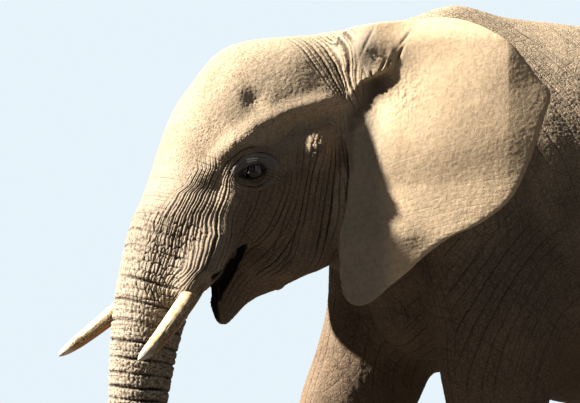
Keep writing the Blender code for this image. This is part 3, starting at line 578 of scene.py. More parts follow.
# ---------------------------------------------------------------- the animal's flesh
def flesh(voxel, round_to=0.05):
    """Body, head, trunk, legs and tail grown into one skin, without the ears, eyes, tusks and nails."""
    parts = [body_loft(), head_loft()]
    parts.append(tube("trunk", TRUNK, 70, 40))
    for side in (-1, 1):
        parts.append(ball("cheek", (0.075, side * 0.165, 1.735), (0.20, 0.135, 0.215), (0, 12, 0)))
        parts.append(tube("sheath", mirrored(SHEATH, side), 14, 24))
        parts.append(ball("lip", (-0.366, side * 0.209, 1.412), (0.066, 0.064, 0.040), (0, -32, 0)))
    parts.append(ball("throat", (0.28, 0, 1.72), (0.26, 0.20, 0.21)))
    parts.append(leg_loft("fore", FORE_NEAR, -1))
    parts.append(leg_loft("fore", FORE_FAR, 1))
    parts.append(leg_loft("hind", HIND, -1))
    parts.append(leg_loft("hind", HIND, 1, HIND_STEP))
    parts.append(ball("chest", (0.76, 0, 1.42), (0.23, 0.24, 0.27)))
    skin = joined("flesh", parts)
    remesh(skin, voxel)
    fillet(skin, round_to, voxel)
    drape = [ball("drape", (0.135, side * 0.160, 1.590), (0.215, 0.115, 0.125), (0, -20, 0)) for side in (-1, 1)]
    drape += [ball("drape", (0.020, side * 0.085, 1.550), (0.160, 0.092, 0.100), (0, -26, 0)) for side in (-1, 1)]
    mouth = [jaw_loft(), ball("tongue", (-0.150, 0, 1.520), (0.085, 0.060, 0.100))]
    skin = joined("flesh", [skin, tube("tail", TAIL, 40, 20)] + mouth + drape)
    remesh(skin, voxel)
    fillet(skin, 0.012, voxel)
    relax(skin, 0.5, 2)
    carve(skin, ball("spout", (-0.212, 0, 1.385), (0.066, 0.034, 0.110), (0, 12, 0), 32, 20))
    return skin


def carve(ob, tool, mode="DIFFERENCE"):
    """Takes the tool's shape out of a body, or keeps what lies in it, and removes the tool."""
    m = ob.modifiers.new("carve", "BOOLEAN")
    m.operation, m.solver, m.object = mode, "EXACT", tool
    apply_all(ob)
    bpy.data.objects.remove(tool)
    return ob


# Rises and hollows on the finished skin: X, Y, Z of the middle, spread along X, Y and Z, height (minus is a hollow). Each is on both sides.
RELIEF = (
    (-0.140, 0.225, 2.105, 0.060, 0.09, 0.085, -0.032),  # temple hollow
    (-0.195, 0.235, 1.938, 0.060, 0.07, 0.045, 0.012),  # brow
    (-0.112, 0.270, 1.932, 0.075, 0.07, 0.035, 0.012),
    (-0.130, 0.275, 1.842, 0.062, 0.08, 0.045, -0.010),  # eye socket
    (-0.015, 0.290, 1.815, 0.085, 0.08, 0.045, 0.016),  # cheekbone
    (0.114, 0.310, 1.945, 0.055, 0.08, 0.075, 0.018),  # temporal gland's swelling
    (0.020, 0.280, 2.030, 0.060, 0.08, 0.060, -0.012),
    (-0.110, 0.280, 1.730, 0.070, 0.09, 0.060, -0.014),  # hollow under the eye
    (-0.290, 0.200, 1.780, 0.060, 0.07, 0.120, -0.016),  # between forehead and sheath
    (-0.240, 0.200, 1.620, 0.080, 0.07, 0.090, 0.012),  # sheath's top
    (0.180, 0.280, 2.200, 0.050, 0.09, 0.120, -0.014),  # before the ear
    (0.310, 0.340, 2.110, 0.060, 0.10, 0.095, -0.050),  # where the ear lies over the head
    (0.780, 0.420, 2.150, 0.060, 0.20, 0.260, 0.030),  # shoulder blade's ridge
    (0.660, 0.430, 1.600, 0.090, 0.20, 0.140, 0.030),  # point of the shoulder
    (1.190, 0.450, 1.700, 0.080, 0.20, 0.220, -0.035),  # behind the shoulder
    (2.420, 0.330, 2.330, 0.110, 0.20, 0.090, 0.035),  # hip bone
    (2.180, 0.550, 1.900, 0.160, 0.20, 0.180, -0.030),  # hollow of the flank
    (2.350, 0.520, 1.300, 0.120, 0.20, 0.110, 0.020),  # knee of the hind leg
    (1.100, 0.400, 1.220, 0.070, 0.20, 0.080, 0.022),  # elbow
)


def sculpt(ob, table=RELIEF):
    mesh = ob.data
    co, n = co_of(mesh), normals_of(mesh)
    move = np.zeros(len(co))
    for x, y, z, sx, sy, sz, high in table:
        for side in (-1, 1) if y else (1,):
            q = ((co[:, 0] - x) / sx) ** 2 + ((co[:, 1] - side * y) / sy) ** 2 + ((co[:, 2] - z) / sz) ** 2
            move += high * np.exp(-q / 2)
    set_co(mesh, co + n * move[:, None])
    return ob


# ---------------------------------------------------------------- noise
def scatter(cell, seed=0):
    """A repeatable random whole number for each cell address."""
    c = cell.astype(np.int64).astype(np.uint32)
    h = c[:, 0] * np.uint32(0x8DA6B343) ^ c[:, 1] * np.uint32(0xD8163841) ^ c[:, 2] * np.uint32(0xCB1AB31F)
    h ^= np.uint32((seed * 0x9E3779B1) & 0xFFFFFFFF)
    h ^= h >> np.uint32(15)
    h *= np.uint32(0x2C1B3C6D)
    h ^= h >> np.uint32(12)
    h *= np.uint32(0x297A2D39)
    h ^= h >> np.uint32(15)
    return h


def unit(h):
    return (h >> np.uint32(8)).astype(np.float32) / np.float32(1 << 24)


def cloud(p, seed=0):
    """Smooth noise from -1 to 1."""
    p = np.asarray(p, np.float32)
    i = np.floor(p)
    f = p - i
    f = f * f * (3 - 2 * f)
    out = np.zeros(len(p), np.float32)
    for dx in (0, 1):
        for dy in (0, 1):
            for dz in (0, 1):
                w = (f[:, 0] if dx else 1 - f[:, 0]) * (f[:, 1] if dy else 1 - f[:, 1]) * (f[:, 2] if dz else 1 - f[:, 2])
                out += w * unit(scatter(i + np.array((dx, dy, dz), np.float32), seed))
    return out * 2 - 1


def clouds(p, seed=0, octaves=3):
    out, a = 0.0, 1.0
    p = np.asarray(p, np.float32)
    for k in range(octaves):
        out = out + a * cloud(p * (2.03**k), seed + k)
        a *= 0.5
    return out / (2 - 2 * 0.5**octaves) * 1.2


def cells(p, seed=0, jitter=0.85, flat=False):
    """Scattered points, one to a unit cell: the distance to the nearest, how much farther the next one is, and the nearest one's random number. Flat takes no neighbours along the third axis."""
    p = np.asarray(p, np.float32)
    i = np.floor(p)
    f1 = np.full(len(p), 9, np.float32)
    f2 = np.full(len(p), 9, np.float32)
    who = np.zeros(len(p), np.float32)
    for dx in (-1, 0, 1):
        for dy in (-1, 0, 1):
            for dz in (0,) if flat else (-1, 0, 1):
                c = i + np.array((dx, dy, dz), np.float32)
                h = scatter(c, seed)
                q = np.stack([h & 1023, (h >> np.uint32(10)) & 1023, (h >> np.uint32(20)) & 1023], 1).astype(np.float32) / 1023.0
                d = p - (c + 0.5 + (q - 0.5) * jitter)
                if flat:
                    d[:, 2] = 0
                d = np.sqrt((d * d).sum(1))
                near = d < f1
                f2 = np.where(near, f1, np.minimum(f2, d))
                who = np.where(near, unit(h), who)
                f1 = np.where(near, d, f1)
    return f1, f2 - f1, who


def ramp(v, lo, hi):
    """0 below lo, 1 above hi, smooth between. With lo over hi it falls instead."""
    t = np.clip((v - lo) / (hi - lo), 0, 1)
    return t * t * (3 - 2 * t)


def between(low, high, x, z):
    """The share of the way from one guide line to another at height z. A guide is a list of heights and X."""
    lo, hi = np.array(low, float), np.array(high, float)
    a = np.interp(z, lo[::-1, 0], lo[::-1, 1])
    b = np.interp(z, hi[::-1, 0], hi[::-1, 1])
    return (x - a) / (b - a)


# ---------------------------------------------------------------- the skin's shape
STOUT = 0.020  # the half thickness an ear is given while the skin is made, before it is thinned
OPENING = (-0.1385, 0.275, 1.842)  # middle of the gap between the lids
GAP_WIDE, GAP_TALL = 0.0430, 0.0250  # half the gap's width and height
MOUTH = ((1.567, -0.088, 0.004), (1.556, -0.103, 0.009), (1.540, -0.119, 0.012), (1.507, -0.145, 0.015), (1.469, -0.167, 0.017), (1.427, -0.192, 0.019), (1.404, -0.212, 0.019), (1.380, -0.222, 0.016))  # the gap between the lips from its corner forward: height, X, half width
RING_HEIGHTS = (1.674, 1.633, 1.572, 1.454, 1.367, 1.284, 1.209, 1.145, 1.088, 1.035, 0.991)  # where the trunk's main creases meet its front edge
# Guide lines that folds follow, as height and X, from the top down
FACE_FRONT = ((1.851, -0.324), (1.793, -0.359), (1.762, -0.395), (1.677, -0.442), (1.589, -0.478), (1.544, -0.480), (1.442, -0.511), (1.393, -0.519), (1.318, -0.490))
FACE_BACK = ((1.869, -0.203), (1.812, -0.228), (1.736, -0.243), (1.678, -0.267), (1.602, -0.274), (1.534, -0.303), (1.469, -0.329), (1.404, -0.386), (1.318, -0.420))
CHEEK_FRONT = ((2.050, 0.060), (1.969, 0.045), (1.872, 0.030), (1.789, 0.016), (1.718, 0.006), (1.675, -0.004), (1.603, -0.016), (1.526, -0.034), (1.400, -0.075))
CHEEK_BACK = ((2.050, 0.243), (1.987, 0.243), (1.872, 0.248), (1.784, 0.235), (1.658, 0.232), (1.527, 0.214), (1.493, 0.205), (1.400, 0.180))
ROOT_FRONT = ((2.420, 0.110), (2.325, 0.153), (2.155, 0.226), (2.080, 0.240))
ROOT_BACK = ((2.420, 0.250), (2.399, 0.256), (2.273, 0.291), (2.155, 0.305), (2.080, 0.310))
ROLL_EDGE = ((-0.04, 2.085), (-0.01, 2.133), (0.05, 2.200), (0.13, 2.235), (0.165, 2.265), (0.180, 2.348))  # the lower edge of the roll at the ear's root: distance back, height


def ear_address(co):
    """Where a point lies on its side's ear: distance back, height, offset from the sheet's middle, share of the way to the rim, half thickness."""
    side = np.where(co[:, 1] < 0, -1, 1)
    c, s = math.cos(EAR_OPEN), math.sin(EAR_OPEN)
    a = math.radians(27)
    dx, dy, z = co[:, 0] - EAR_ROOT[0], side * co[:, 1] - EAR_ROOT[1], co[:, 2]
    t = dx * c + dy * s
    for _ in range(4):
        t = dx * c + dy * s - ear_lean(t, z) * math.sin(a - EAR_OPEN)
    off = -dx * s + dy * c + ear_lean(t, z) * math.cos(a - EAR_OPEN) - ear_bend(t, z)
    out = np.stack([t - 0.14, z - 2.03], 1)
    angle, far = np.arctan2(out[:, 1], out[:, 0]), np.linalg.norm(out, axis=1)
    share = np.zeros(len(co))
    for k in (-1, 1):
        rim = ear_rim(k, 400) - (0.14, 2.03)
        turn = np.arctan2(rim[:, 1], rim[:, 0])
        order = np.argsort(turn)
        reach = np.interp(angle, turn[order], np.linalg.norm(rim, axis=1)[order], period=2 * math.pi)
        share = np.where(side == k, far / reach, share)
    return t, z, off, share, ear_thick(t, z, np.clip(1 - share, 0, 1)) / 2


def thin_ears(ob):
    co = co_of(ob.data)
    t, z, off, share, half = ear_address(co)
    wide = np.maximum(half, STOUT)
    hold = ramp(share, 1.10, 1.04) * ramp(np.abs(off), wide + 0.030, wide + 0.012) * ramp(t, -0.09, -0.06)
    new = off * (1 + hold * (half / wide - 1))
    side = np.where(co[:, 1] < 0, -1, 1)
    n = np.stack([np.full(len(co), -math.sin(EAR_OPEN)), side * math.cos(EAR_OPEN), np.zeros(len(co))], 1)
    set_co(ob.data, co + n * (new - off)[:, None])


def finer(ob, choose):
    """Splits in four the faces whose middle choose() accepts."""
    mesh = ob.data
    middle = np.empty(len(mesh.polygons) * 3, np.float32)
    mesh.polygons.foreach_get("center", middle)
    pick = choose(middle.reshape(-1, 3).astype(float))
    bm = bmesh.new()
    bm.from_mesh(mesh)
    edges = set()
    for face, yes in zip(bm.faces, pick):
        if yes:
            edges.update(face.edges)
    bmesh.ops.subdivide_edges(bm, edges=list(edges), cuts=1, use_grid_fill=True, smooth=0.0)
    bm.to_mesh(mesh)
    bm.free()
    return ob


def trunk_address(co):
    """Along the trunk's middle line: distance down it, distance out in shares of the radius, turn round it (0 in front), radius."""
    line = flowing(TRUNK, 260)
    run = np.concatenate([[0], np.cumsum(np.linalg.norm(np.diff(line[:, :3], axis=0), axis=1))])
    d = np.gradient(line[:, :3], axis=0)
    d /= np.linalg.norm(d, axis=1)[:, None]
    front = np.stack([d[:, 2], np.zeros(len(d)), -d[:, 0]], 1)
    best = np.empty(len(co), int)
    for a in range(0, len(co), 20000):
        q = co[a : a + 20000]
        best[a : a + 20000] = ((q[:, None, ::2] - line[None, :, (0, 2)]) ** 2).sum(2).argmin(1)
    gap = co - line[best, :3]
    along = (gap * d[best]).sum(1)
    f = (gap * front[best]).sum(1)
    radius = (line[best, 3] + line[best, 4]) / 2
    tip_z = line[:, 2] + front[:, 2] * line[:, 3]
    return run[best] + along, np.hypot(f / line[best, 3], gap[:, 1] / line[best, 4]), np.arctan2(gap[:, 1], f), radius, run, tip_z


def lids(co):
    """Shapes the skin round each eyeball into two lids with a gap between them. Returns the new points and how near each is to the gap."""
    side = np.where(co[:, 1] < 0, -1, 1)
    x, h, z = co[:, 0], side * co[:, 1], co[:, 2]
    dx, dz = x - OPENING[0], z - OPENING[2]
    lean = dz - 0.10 * dx
    tall = np.where(lean > 0, GAP_TALL, GAP_TALL * 1.08)
    q = np.sqrt((dx / GAP_WIDE) ** 2 + (lean / tall) ** 2 + 0.25 * np.abs(dx / GAP_WIDE) ** 3)
    near = (q < 6) & (h > 0.18)
    rho2 = (x - EYE[0]) ** 2 + (z - EYE[2]) ** 2
    cover = EYE[1] + np.sqrt(np.maximum((EYE_R + 0.0048) ** 2 - rho2, 0.0001))
    shut = EYE[1] + np.sqrt(np.maximum((EYE_R - 0.010) ** 2 - rho2, 0.0000)) - 0.004
    want = np.where(q < 1, shut + (cover - shut) * ramp(q, 0.86, 1.0), cover)
    rim = 0.0016 * np.exp(-(((q - 1.20) / 0.20) ** 2))
    hold = ramp(q, 2.7, 1.35)
    new = h + (want - h) * hold + rim
    new = np.where(near, new, h)
    out = co.copy()
    out[:, 1] = side * new
    return out, np.where(near, q, 9.0), dx, lean


# The edge from brow to temple, where the side of the head turns down: X, height.
BROW = ((-0.400, 1.800), (-0.377, 1.812), (-0.294, 1.850), (-0.227, 1.923), (-0.202, 1.950), (-0.151, 1.979), (-0.100, 2.011), (-0.041, 2.044), (0.027, 2.080), (0.100, 2.099), (0.177, 2.113), (0.260, 2.120))


class Folds:
    """Gathers how high each point of the skin rises or sinks, how much painted shade darkens its creases, and the run
    of three sets of lines that the paint draws finer than the mesh can hold, as dark painted shade.
    """

    def __init__(self, count):
        self.high, self.dark = np.zeros(count), np.zeros(count)
        self.sets = {k: {"best": np.full(count, 1e-4), "run": np.zeros(count), "put": np.zeros(count), "wide": np.full(count, 0.1)} for k in "ABC"}

    def cut(self, m, crease, deep, full=None, rise=0.0, painted_shade=1.0):
        self.high -= m * deep * crease
        if full is not None:
            self.high += m * rise * full
        self.dark = np.maximum(self.dark, np.clip(m, 0, 1) * crease * painted_shade)

    def lines(self, key, m, phase, gap, deep, width=0.0030, seed=0, keep=0.4, along=None, rise=0.0, show=1.0, cell=0.0050, order=None):
        """A crease at every whole value of the phase, gap metres apart. Each has a depth of its own, at least keep, and fades in and out along its run."""
        k = np.round(phase)
        off = np.abs(phase - k)
        each = keep + (1 - keep) * unit(scatter(np.stack([k, k * 0 + seed, k * 0], 1), seed + 7))
        if along is not None:
            each = each * np.clip(0.78 + 0.75 * cloud(np.stack([along, k * 5.37, k * 0 + 0.5], 1), seed + 9), 0.08, 1)
        if order is not None:
            each = each * order(k)
        m = np.clip(m, 0, 1)
        self.high -= m * deep * each * np.clip(1 - off * gap / np.maximum(width * 1.5, cell), 0, 1) ** 1.1
        if rise:
            self.high += m * rise * (np.sqrt(np.clip(1 - (2 * off) ** 2.4, 0, 1)) - 0.72)
        s = self.sets[key]
        new = m > s["best"]
        s["best"] = np.where(new, m, s["best"])
        s["run"] = np.where(new, phase, s["run"])
        s["put"] = np.where(new, m * each * show, s["put"])
        s["wide"] = np.where(new, width / gap, s["wide"])


def wrinkle(ob):
    """Raises and cuts the skin's folds, each part of the body in its own way. Marks the creases and the parts for the
    paint, with masks for painted shade in creases, gaps and hollows and for painted light on tops and ridges.
    """
    mesh = ob.data
    co, eyegap, ex, ez = lids(co_of(mesh))
    set_co(mesh, co)
    n = normals_of(mesh)
    x, y, z = co.T
    s = np.abs(y)
    side = np.where(y < 0, -1.0, 1.0)
    none = np.zeros(len(co))
    f = Folds(len(co))
    cut, lines = f.cut, f.lines

    def lift(amount):
        f.high += amount

    flip = np.stack([x, s, z], 1) + np.where(y > 0, 7.3, 0.0)[:, None]  # so the two sides differ in the small
    wide = cloud(flip * 5, 5)
    wob = cloud(flip * 11, 1)
    wob2 = cloud(flip * 26, 2)
    wob3 = cloud(flip * 60, 3)
    t, _, off, share, half = ear_address(co)
    ear = ramp(share, 1.10, 1.05) * ramp(np.abs(off), half + 0.016, half + 0.009) * ramp(t, -0.06, -0.03) * ramp(s, 0.25, 0.30)
    core = np.maximum(half, 0.001)
    ear = ear * np.where(t < 0.10, ramp(off / core, 0.2, 0.6) * 0.6 + 0.4, 1.0)
    rest = 1 - ear

    # ---- the trunk: main rings, finer ones between, and plates split lengthwise
    near = np.flatnonzero((x < -0.02) & (z < 1.95))
    ts, td, ta, tr = (none.copy() for _ in range(4))
    a, b, c, d, run, edge_z = trunk_address(co[near])
    ts[near], td[near], ta[near], tr[near] = a, b, c, d
    trunk = none.copy()
    trunk[near] = ramp(b, 1.42, 1.16) * ramp(a, 0.02, 0.16)
    order = np.argsort(edge_z[: np.searchsorted(run, 1.25)])
    rings = list(np.interp(RING_HEIGHTS, edge_z[order], run[order]))
    step = 0.0425
    while rings[-1] < run[-1] - 0.02:
        rings.append(rings[-1] + step)
        step = max(0.021, step * 0.972)
    rings = np.array(rings)
    bow = ts + 0.003 * wob + 0.0012 * wob2 - 0.012 * (1 - np.cos(ta)) * ramp(ts, 0.9, 0.3) + 0.003 * np.sin(ta * 2)
    phase = np.interp(bow, rings, np.arange(len(rings)), left=-1, right=len(rings))
    gap = np.interp(np.round(phase), np.arange(len(rings)), np.gradient(rings))
    ring_w = trunk * ramp(phase, -0.6, -0.2) * ramp(td, 0.5, 0.8)
    strong = lambda k: np.interp(k, (0, 2, 3, 5, 7, 40), (0.40, 0.55, 0.85, 1.0, 1.0, 0.9))
    lines("A", ring_w, phase, gap, 0.0115, 0.0058, 11, 0.9, ta * 2.2, 0.0028, 1.15, 0.0060, strong)
    lines("B", ring_w * ramp(ts, 0.10, 0.6), bow / 0.0140 + 0.25 * wob2, 0.0140, 0.0014, 0.0018, 21, 0.1, ta * 3, 0, 0.55)
    long_ = np.interp(ts, (0.2, 0.55, 0.75), (0.050, 0.036, 0.019))
    arc = ta * tr
    row = ts / long_
    e = cells(np.stack([arc / 0.0160 + 0.25 * wob2 + side * 9, row, none], 1), 31, 0.72, flat=True)
    cut(trunk * ramp(ts, 0.05, 0.2), ramp(e[1], 0.28, 0.0), 0.0054, e[2], 0.0026, 0.85)
    e = cells(np.stack([arc / 0.0085 + side * 5, ts / 0.0105, none], 1), 33, 0.9, flat=True)
    cut(trunk * ramp(ts, 0.3, 0.6), ramp(e[1], 0.34, 0.02), 0.0012, e[2], 0.0008, 0.22)

    # ---- the face between forehead and tusk: long folds that run down beside the trunk
    c = between(FACE_FRONT, FACE_BACK, x, z) + 0.030 * wide + 0.012 * wob
    m = ramp(c, -0.30, 0.22) * ramp(c, 1.14, 1.0) * ramp(z, 1.30, 1.36) * ramp(z, 1.925, 1.80) * ramp(s, 0.055, 0.12) * rest * np.clip(0.75 + 0.5 * wide, 0.3, 1)
    p = c * 7.4 + 0.10 * wob2 + 0.30 * np.sin(c * 5.1 + 3 * z)
    lines("B", m, p, 0.030, 0.0105, 0.0056, 41, 0.6, z * 7, 0.0054, 1.05, 0.0056)
    lines("C", m * 0.9, p * 1.93 + 0.35 * wob + 0.3, 0.016, 0.0028, 0.0024, 44, 0.1, z * 14, 0, 0.6)
    e = cells(np.stack([p, z / 0.052 + 0.6 * wob + p * 0.35, none], 1), 42, 0.85, flat=True)[1]
    cut(m * ramp(z, 1.82, 1.70) * np.clip(0.3 + wide, 0.1, 1), ramp(e, 0.12, 0.0), 0.0024, None, 0, 0.4)
    # ---- over the tusk's sheath, down to the lip
    c = (x - np.interp(z, np.array(FACE_BACK)[::-1, 0], np.array(FACE_BACK)[::-1, 1]) + 0.004 * wob + 0.010 * wide) / 0.0185
    m = ramp(c, 0.1, 0.9) * ramp(x, -0.10, -0.15) * ramp(z, 1.40, 1.46) * ramp(z, 1.78, 1.70) * ramp(s, 0.10, 0.15) * rest
    lines("C", m, c, 0.0185, 0.0030, 0.0024, 51, 0.15, z * 10, 0.0006, 0.85)

    # ---- the eye: a full upper lid, a pouch below, creases that run round both and on from the corners
    by_eye = eyegap < 8.9
    turn = np.arctan2(ez, ex)
    spread = np.interp(np.degrees(turn), (-180, -135, -90, -45, 0, 45, 90, 135, 180), (1.25, 1.50, 1.35, 1.25, 1.40, 1.50, 1.2, 1.0, 1.25))
    rho = np.hypot(ex / spread, ez) + 0.0030 * wob + 0.0014 * wob2 + 0.0030 * wide
    up = ramp(ez, -0.012, 0.016)
    at = np.array((0.010, 0.0330, 0.0430, 0.0570, 0.0740, 0.0950, 0.1130))
    over = np.array((0.0, 0.0, 0.60, 0.65, 1.0, 0.80, 0.0))
    below = np.array((0.0, 0.70, 0.0, 1.00, 0.45, 0.25, 0.0))
    phase = np.interp(rho, at, np.arange(len(at)))
    k = np.clip(np.round(phase), 0, len(at) - 1)
    w = np.interp(k, np.arange(len(at)), over) * up + np.interp(k, np.arange(len(at)), below) * (1 - up)
    w = w * np.clip(0.72 + 0.80 * cloud(np.stack([turn * 1.6, k * 3, side], 1), 64), 0.12, 1) * (1 - 0.72 * np.exp(-((turn / 0.75) ** 2)))
    eye = by_eye * ramp(rho, 0.118, 0.100)
    lines("A", eye * w * ramp(eyegap, 1.15, 1.3), phase, 0.0145, 0.0040, 0.0017, 61, 1.0, None, 0, 1.0, 0.0036)
    lines("B", eye * ramp(eyegap, 1.3, 1.6) * 0.7, rho / 0.0062 + 0.5 * wob, 0.0062, 0.0008, 0.0011, 62, 0.0, turn * 2.5, 0, 0.7, 0.0030)
    for x0, z0, x1, z1 in ((0.030, 0.001, 0.070, 0.010), (-0.030, -0.004, -0.058, -0.013)):  # its two corners
        dx, dz = x1 - x0, z1 - z0
        u = np.clip(((ex - x0) * dx + (ez - z0) * dz) / (dx * dx + dz * dz), 0, 1)
        gone = np.hypot(ex - x0 - u * dx, ez - z0 - u * dz)
        cut(by_eye * (1 - 0.7 * u), np.clip(1 - gone / 0.0055, 0, 1) ** 1.2, 0.0070)
    fan = eye * ramp(ex, 0.045, 0.065) * np.exp(-(((turn + 0.25) / 0.50) ** 2))
    lines("C", fan, (ez + 0.35 * (ex - 0.05) + 5.0 * (ex - 0.05) ** 2 + 0.003 * wob) / 0.0140, 0.0140, 0.0030, 0.0015, 66, 0.4, ex * 20, 0.0004, 0.9, 0.0036)
    # Painted highlights: pale arcs on the upper lid.
    painted_lid_highlight = none.copy()
    for k, rim in enumerate((1.47, 1.79, 2.12)):
        painted_lid_highlight = np.maximum(painted_lid_highlight, by_eye * up * ramp(np.abs(ex + 0.004), 0.024 + 0.003 * k, 0.012) * np.clip(1 - np.abs(eyegap + 0.03 * wob2 - rim) / 0.110, 0, 1))
    for k, rim in enumerate((1.32, 1.62, 1.95)):  # thin arcs on the upper lid
        cut(by_eye * up * ramp(np.abs(ex), 0.036 + 0.004 * k, 0.022), np.clip(1 - np.abs(eyegap + 0.03 * wob2 - rim) / 0.085, 0, 1), 0.0016, None, 0, 1.0)
    lift(eye * up * 0.0065 * np.exp(-(((rho - 0.0400) / 0.0130) ** 2)))  # the upper lid's full fold
    lift(eye * up * 0.0030 * np.exp(-(((rho - 0.0650) / 0.0065) ** 2)))
    lift(eye * (1 - up) * 0.0045 * np.exp(-(((rho - 0.0460) / 0.0085) ** 2)))  # the pouch
    p = (ez + 0.62 * ex + 0.004 * wob + 0.012 * wide) / 0.0170  # from its front corner toward the trunk
    m = ramp(x, -0.200, -0.235) * ramp(x, -0.37, -0.29) * ramp(z, 1.66, 1.72) * ramp(z, 1.93, 1.87) * ramp(s, 0.12, 0.18) * rest * (1 - eye * w)
    lines("A", m, p, 0.0145, 0.0030, 0.0017, 63, 0.3, ex * 12, 0.0010, 0.8)
    # ---- below the eye and behind it: folds that sweep down and forward from the eye's back corner
    q = np.hypot(x + 0.55, z - 1.870) + 0.006 * wide + 0.002 * wob
    m = ramp(rho, 0.062, 0.085) * ramp(x, -0.24, -0.17) * ramp(x, 0.060, 0.020) * ramp(z, 1.34, 1.42) * ramp(z, 1.87, 1.82) * ramp(s, 0.10, 0.16) * rest * np.clip(0.8 + 0.6 * wide, 0.3, 1)
    lines("B", m, q / 0.0215, 0.0215, 0.0044, 0.0024, 67, 0.30, z * 7, 0.0008, 1.05)

    # ---- upright folds of the cheek, down to the jaw
    c = between(CHEEK_FRONT, CHEEK_BACK, x, z) + 0.014 * wide + 0.005 * wob
    m = ramp(c, -0.16, 0.06) * ramp(c, 1.40, 1.20) * ramp(z, 2.000, 1.90) * ramp(s, 0.10, 0.17) * ramp(z, 1.28, 1.42) * rest
    m = m * (0.60 + 0.40 * ramp(z, 1.50, 1.62))
    lines("C", m, c * 9.0 + 0.09 * np.sin(c * 23) + 0.05 * np.sin(c * 41 + 1) + 0.06 * wob2, 0.024, 0.0062, 0.0028, 71, 0.55, z * 5, 0.0014, 1.1)
    lines("A", m * 0.7, c * 22.0 + 0.30 * wob + 0.1 * wob2, 0.0105, 0.0012, 0.0016, 73, 0.0, z * 12, 0, 0.6)
    e = cells(np.stack([c * 26.0, z / 0.014, none], 1), 72, 0.9, flat=True)
    cut(m, ramp(e[1], 0.28, 0.02), 0.0010, None, 0, 0.22)
    # ---- from the eye to the corner of the mouth: a loose net
    net = ramp(x, -0.29, -0.22) * ramp(x, 0.00, -0.05) * ramp(z, 1.46, 1.56) * ramp(z, 1.80, 1.74) * ramp(s, 0.12, 0.2) * rest
    lines("A", net, (z + 0.75 * x + 0.016 * wob + 0.004 * wob2 + 0.06 * wide) / 0.026, 0.020, 0.0020, 0.0013, 81, 0.0, x * 24, 0, 0.42)
    lines("C", net * 0.8, (z - 1.5 * x + 0.020 * wob + 0.005 * wob2 + 0.06 * wide) / 0.036, 0.020, 0.0020, 0.0013, 82, 0.0, z * 24, 0, 0.42)
    # ---- the lower jaw and lip
    jaw = ramp(z, 1.60, 1.52) * ramp(x, 0.30, 0.18) * (1 - 0.85 * ramp(s, 0.08, 0.14)) * ramp(z, 1.20, 1.24) * (1 - trunk) * rest
    lines("B", jaw * ramp(s, 0.02, 0.06), (x - 0.50 * z + 0.006 * wob + 0.010 * wide) / 0.024, 0.021, 0.0034, 0.0024, 83, 0.2, z * 9, 0, 0.85)
    corner = np.arctan2(z - 1.560, x + 0.16)  # short creases that spread from the corner of the mouth
    far = np.hypot(x + 0.16, z - 1.560)
    lines("A", ramp(far, 0.020, 0.035) * ramp(far, 0.115, 0.085) * ramp(x, -0.135, -0.115) * ramp(s, 0.12, 0.18) * rest, corner * 3.6 + 0.3 * wob, 0.020, 0.0030, 0.0016, 85, 0.3, far * 20, 0, 0.8)
    e = cells(flip / 0.015 + 2, 84)
    cut(jaw, ramp(e[1], 0.28, 0.02), 0.0014, e[2], 0.001, 0.3)

    gap_line = np.array([(a[0] + (b[0] - a[0]) * u, a[1] + (b[1] - a[1]) * u, a[2] + (b[2] - a[2]) * u) for a, b in zip(MOUTH, MOUTH[1:]) for u in np.linspace(0, 1, 12)])
    pick = np.flatnonzero((np.abs(z - 1.47) < 0.16) & (np.abs(x + 0.18) < 0.18) & (s > 0.012) & (s < 0.27))
    d = np.hypot((x + 0.51 * (s - 0.12))[pick][:, None] - gap_line[None, :, 1], z[pick][:, None] - gap_line[None, :, 0])
    at = d.argmin(1)
    part = none.copy()
    part[pick] = ramp(d.min(1) / gap_line[at, 2], 1.35, 0.75) * ramp(s[pick], 0.014, 0.030)
    lift(-0.020 * part)

    # ---- forehead, crown and temple: pebbled
    brow = ramp(z, 1.70, 1.84) * ramp(x, 0.42, 0.30) * rest
    e = cells(flip / 0.0105, 91)
    cut(brow, ramp(e[1], 0.32, 0.02), 0.0009, e[2], 0.0007, 0.15)
    e = cells(flip / 0.022 + 3, 92)
    cut(brow * np.clip(0.6 + wob, 0, 1), ramp(e[1], 0.18, 0.0), 0.0011, e[2], 0.0008, 0.25)
    lift(brow * 0.0015 * clouds(flip * 13, 93))
    lift(rest * ramp(s, 0.05, 0.12) * 0.030 * np.exp(-(((x - 0.250) / 0.110) ** 2) - ((z - 2.130) / 0.120) ** 2))
    lines("A", ramp(z, 1.64, 1.70) * ramp(z, 1.88, 1.80) * ramp(s, 0.16, 0.10) * ramp(x, -0.30, -0.36), (z + 0.55 * x + 0.004 * wob) / 0.017, 0.015, 0.0022, 0.0018, 95, 0.1, s * 14, 0, 0.7)
    edge = np.interp(x, *np.array(BROW).T)
    slant = np.gradient(np.interp(np.linspace(-0.40, 0.26, 60), *np.array(BROW).T), 0.66 / 59)
    d = (z - edge) / np.sqrt(1 + np.interp(x, np.linspace(-0.40, 0.26, 60), slant) ** 2) + 0.004 * wob + 0.010 * wide
    along_brow = ramp(x, -0.37, -0.24) * ramp(x, 0.26, 0.14) * ramp(s, 0.10, 0.16) * rest
    lift(along_brow * (0.017 * np.exp(-((d / 0.036) ** 2)) - 0.020 * ramp(rho, 0.075, 0.120) * np.exp(-(((d + 0.056) / 0.036) ** 2))))
    lift(rest * ramp(s, 0.08, 0.14) * (0.028 * np.exp(-(((x + 0.140) / 0.085) ** 2) - ((z - 2.105) / 0.120) ** 2) - 0.013 * np.exp(-(((x + 0.100) / 0.036) ** 2) - ((z - 2.116) / 0.040) ** 2)))
    hollow = np.exp(-(((x + 0.100) / 0.040) ** 2 + ((z - 2.116) / 0.045) ** 2))
    gland = np.exp(-(((x - 0.098) / 0.055) ** 2 + ((z - 1.950) / 0.066) ** 2))
    e = cells(np.stack([x / 0.0150 + wob2 * 0.4, none, z / 0.026 + wob * 0.6], 1) + 5, 94)
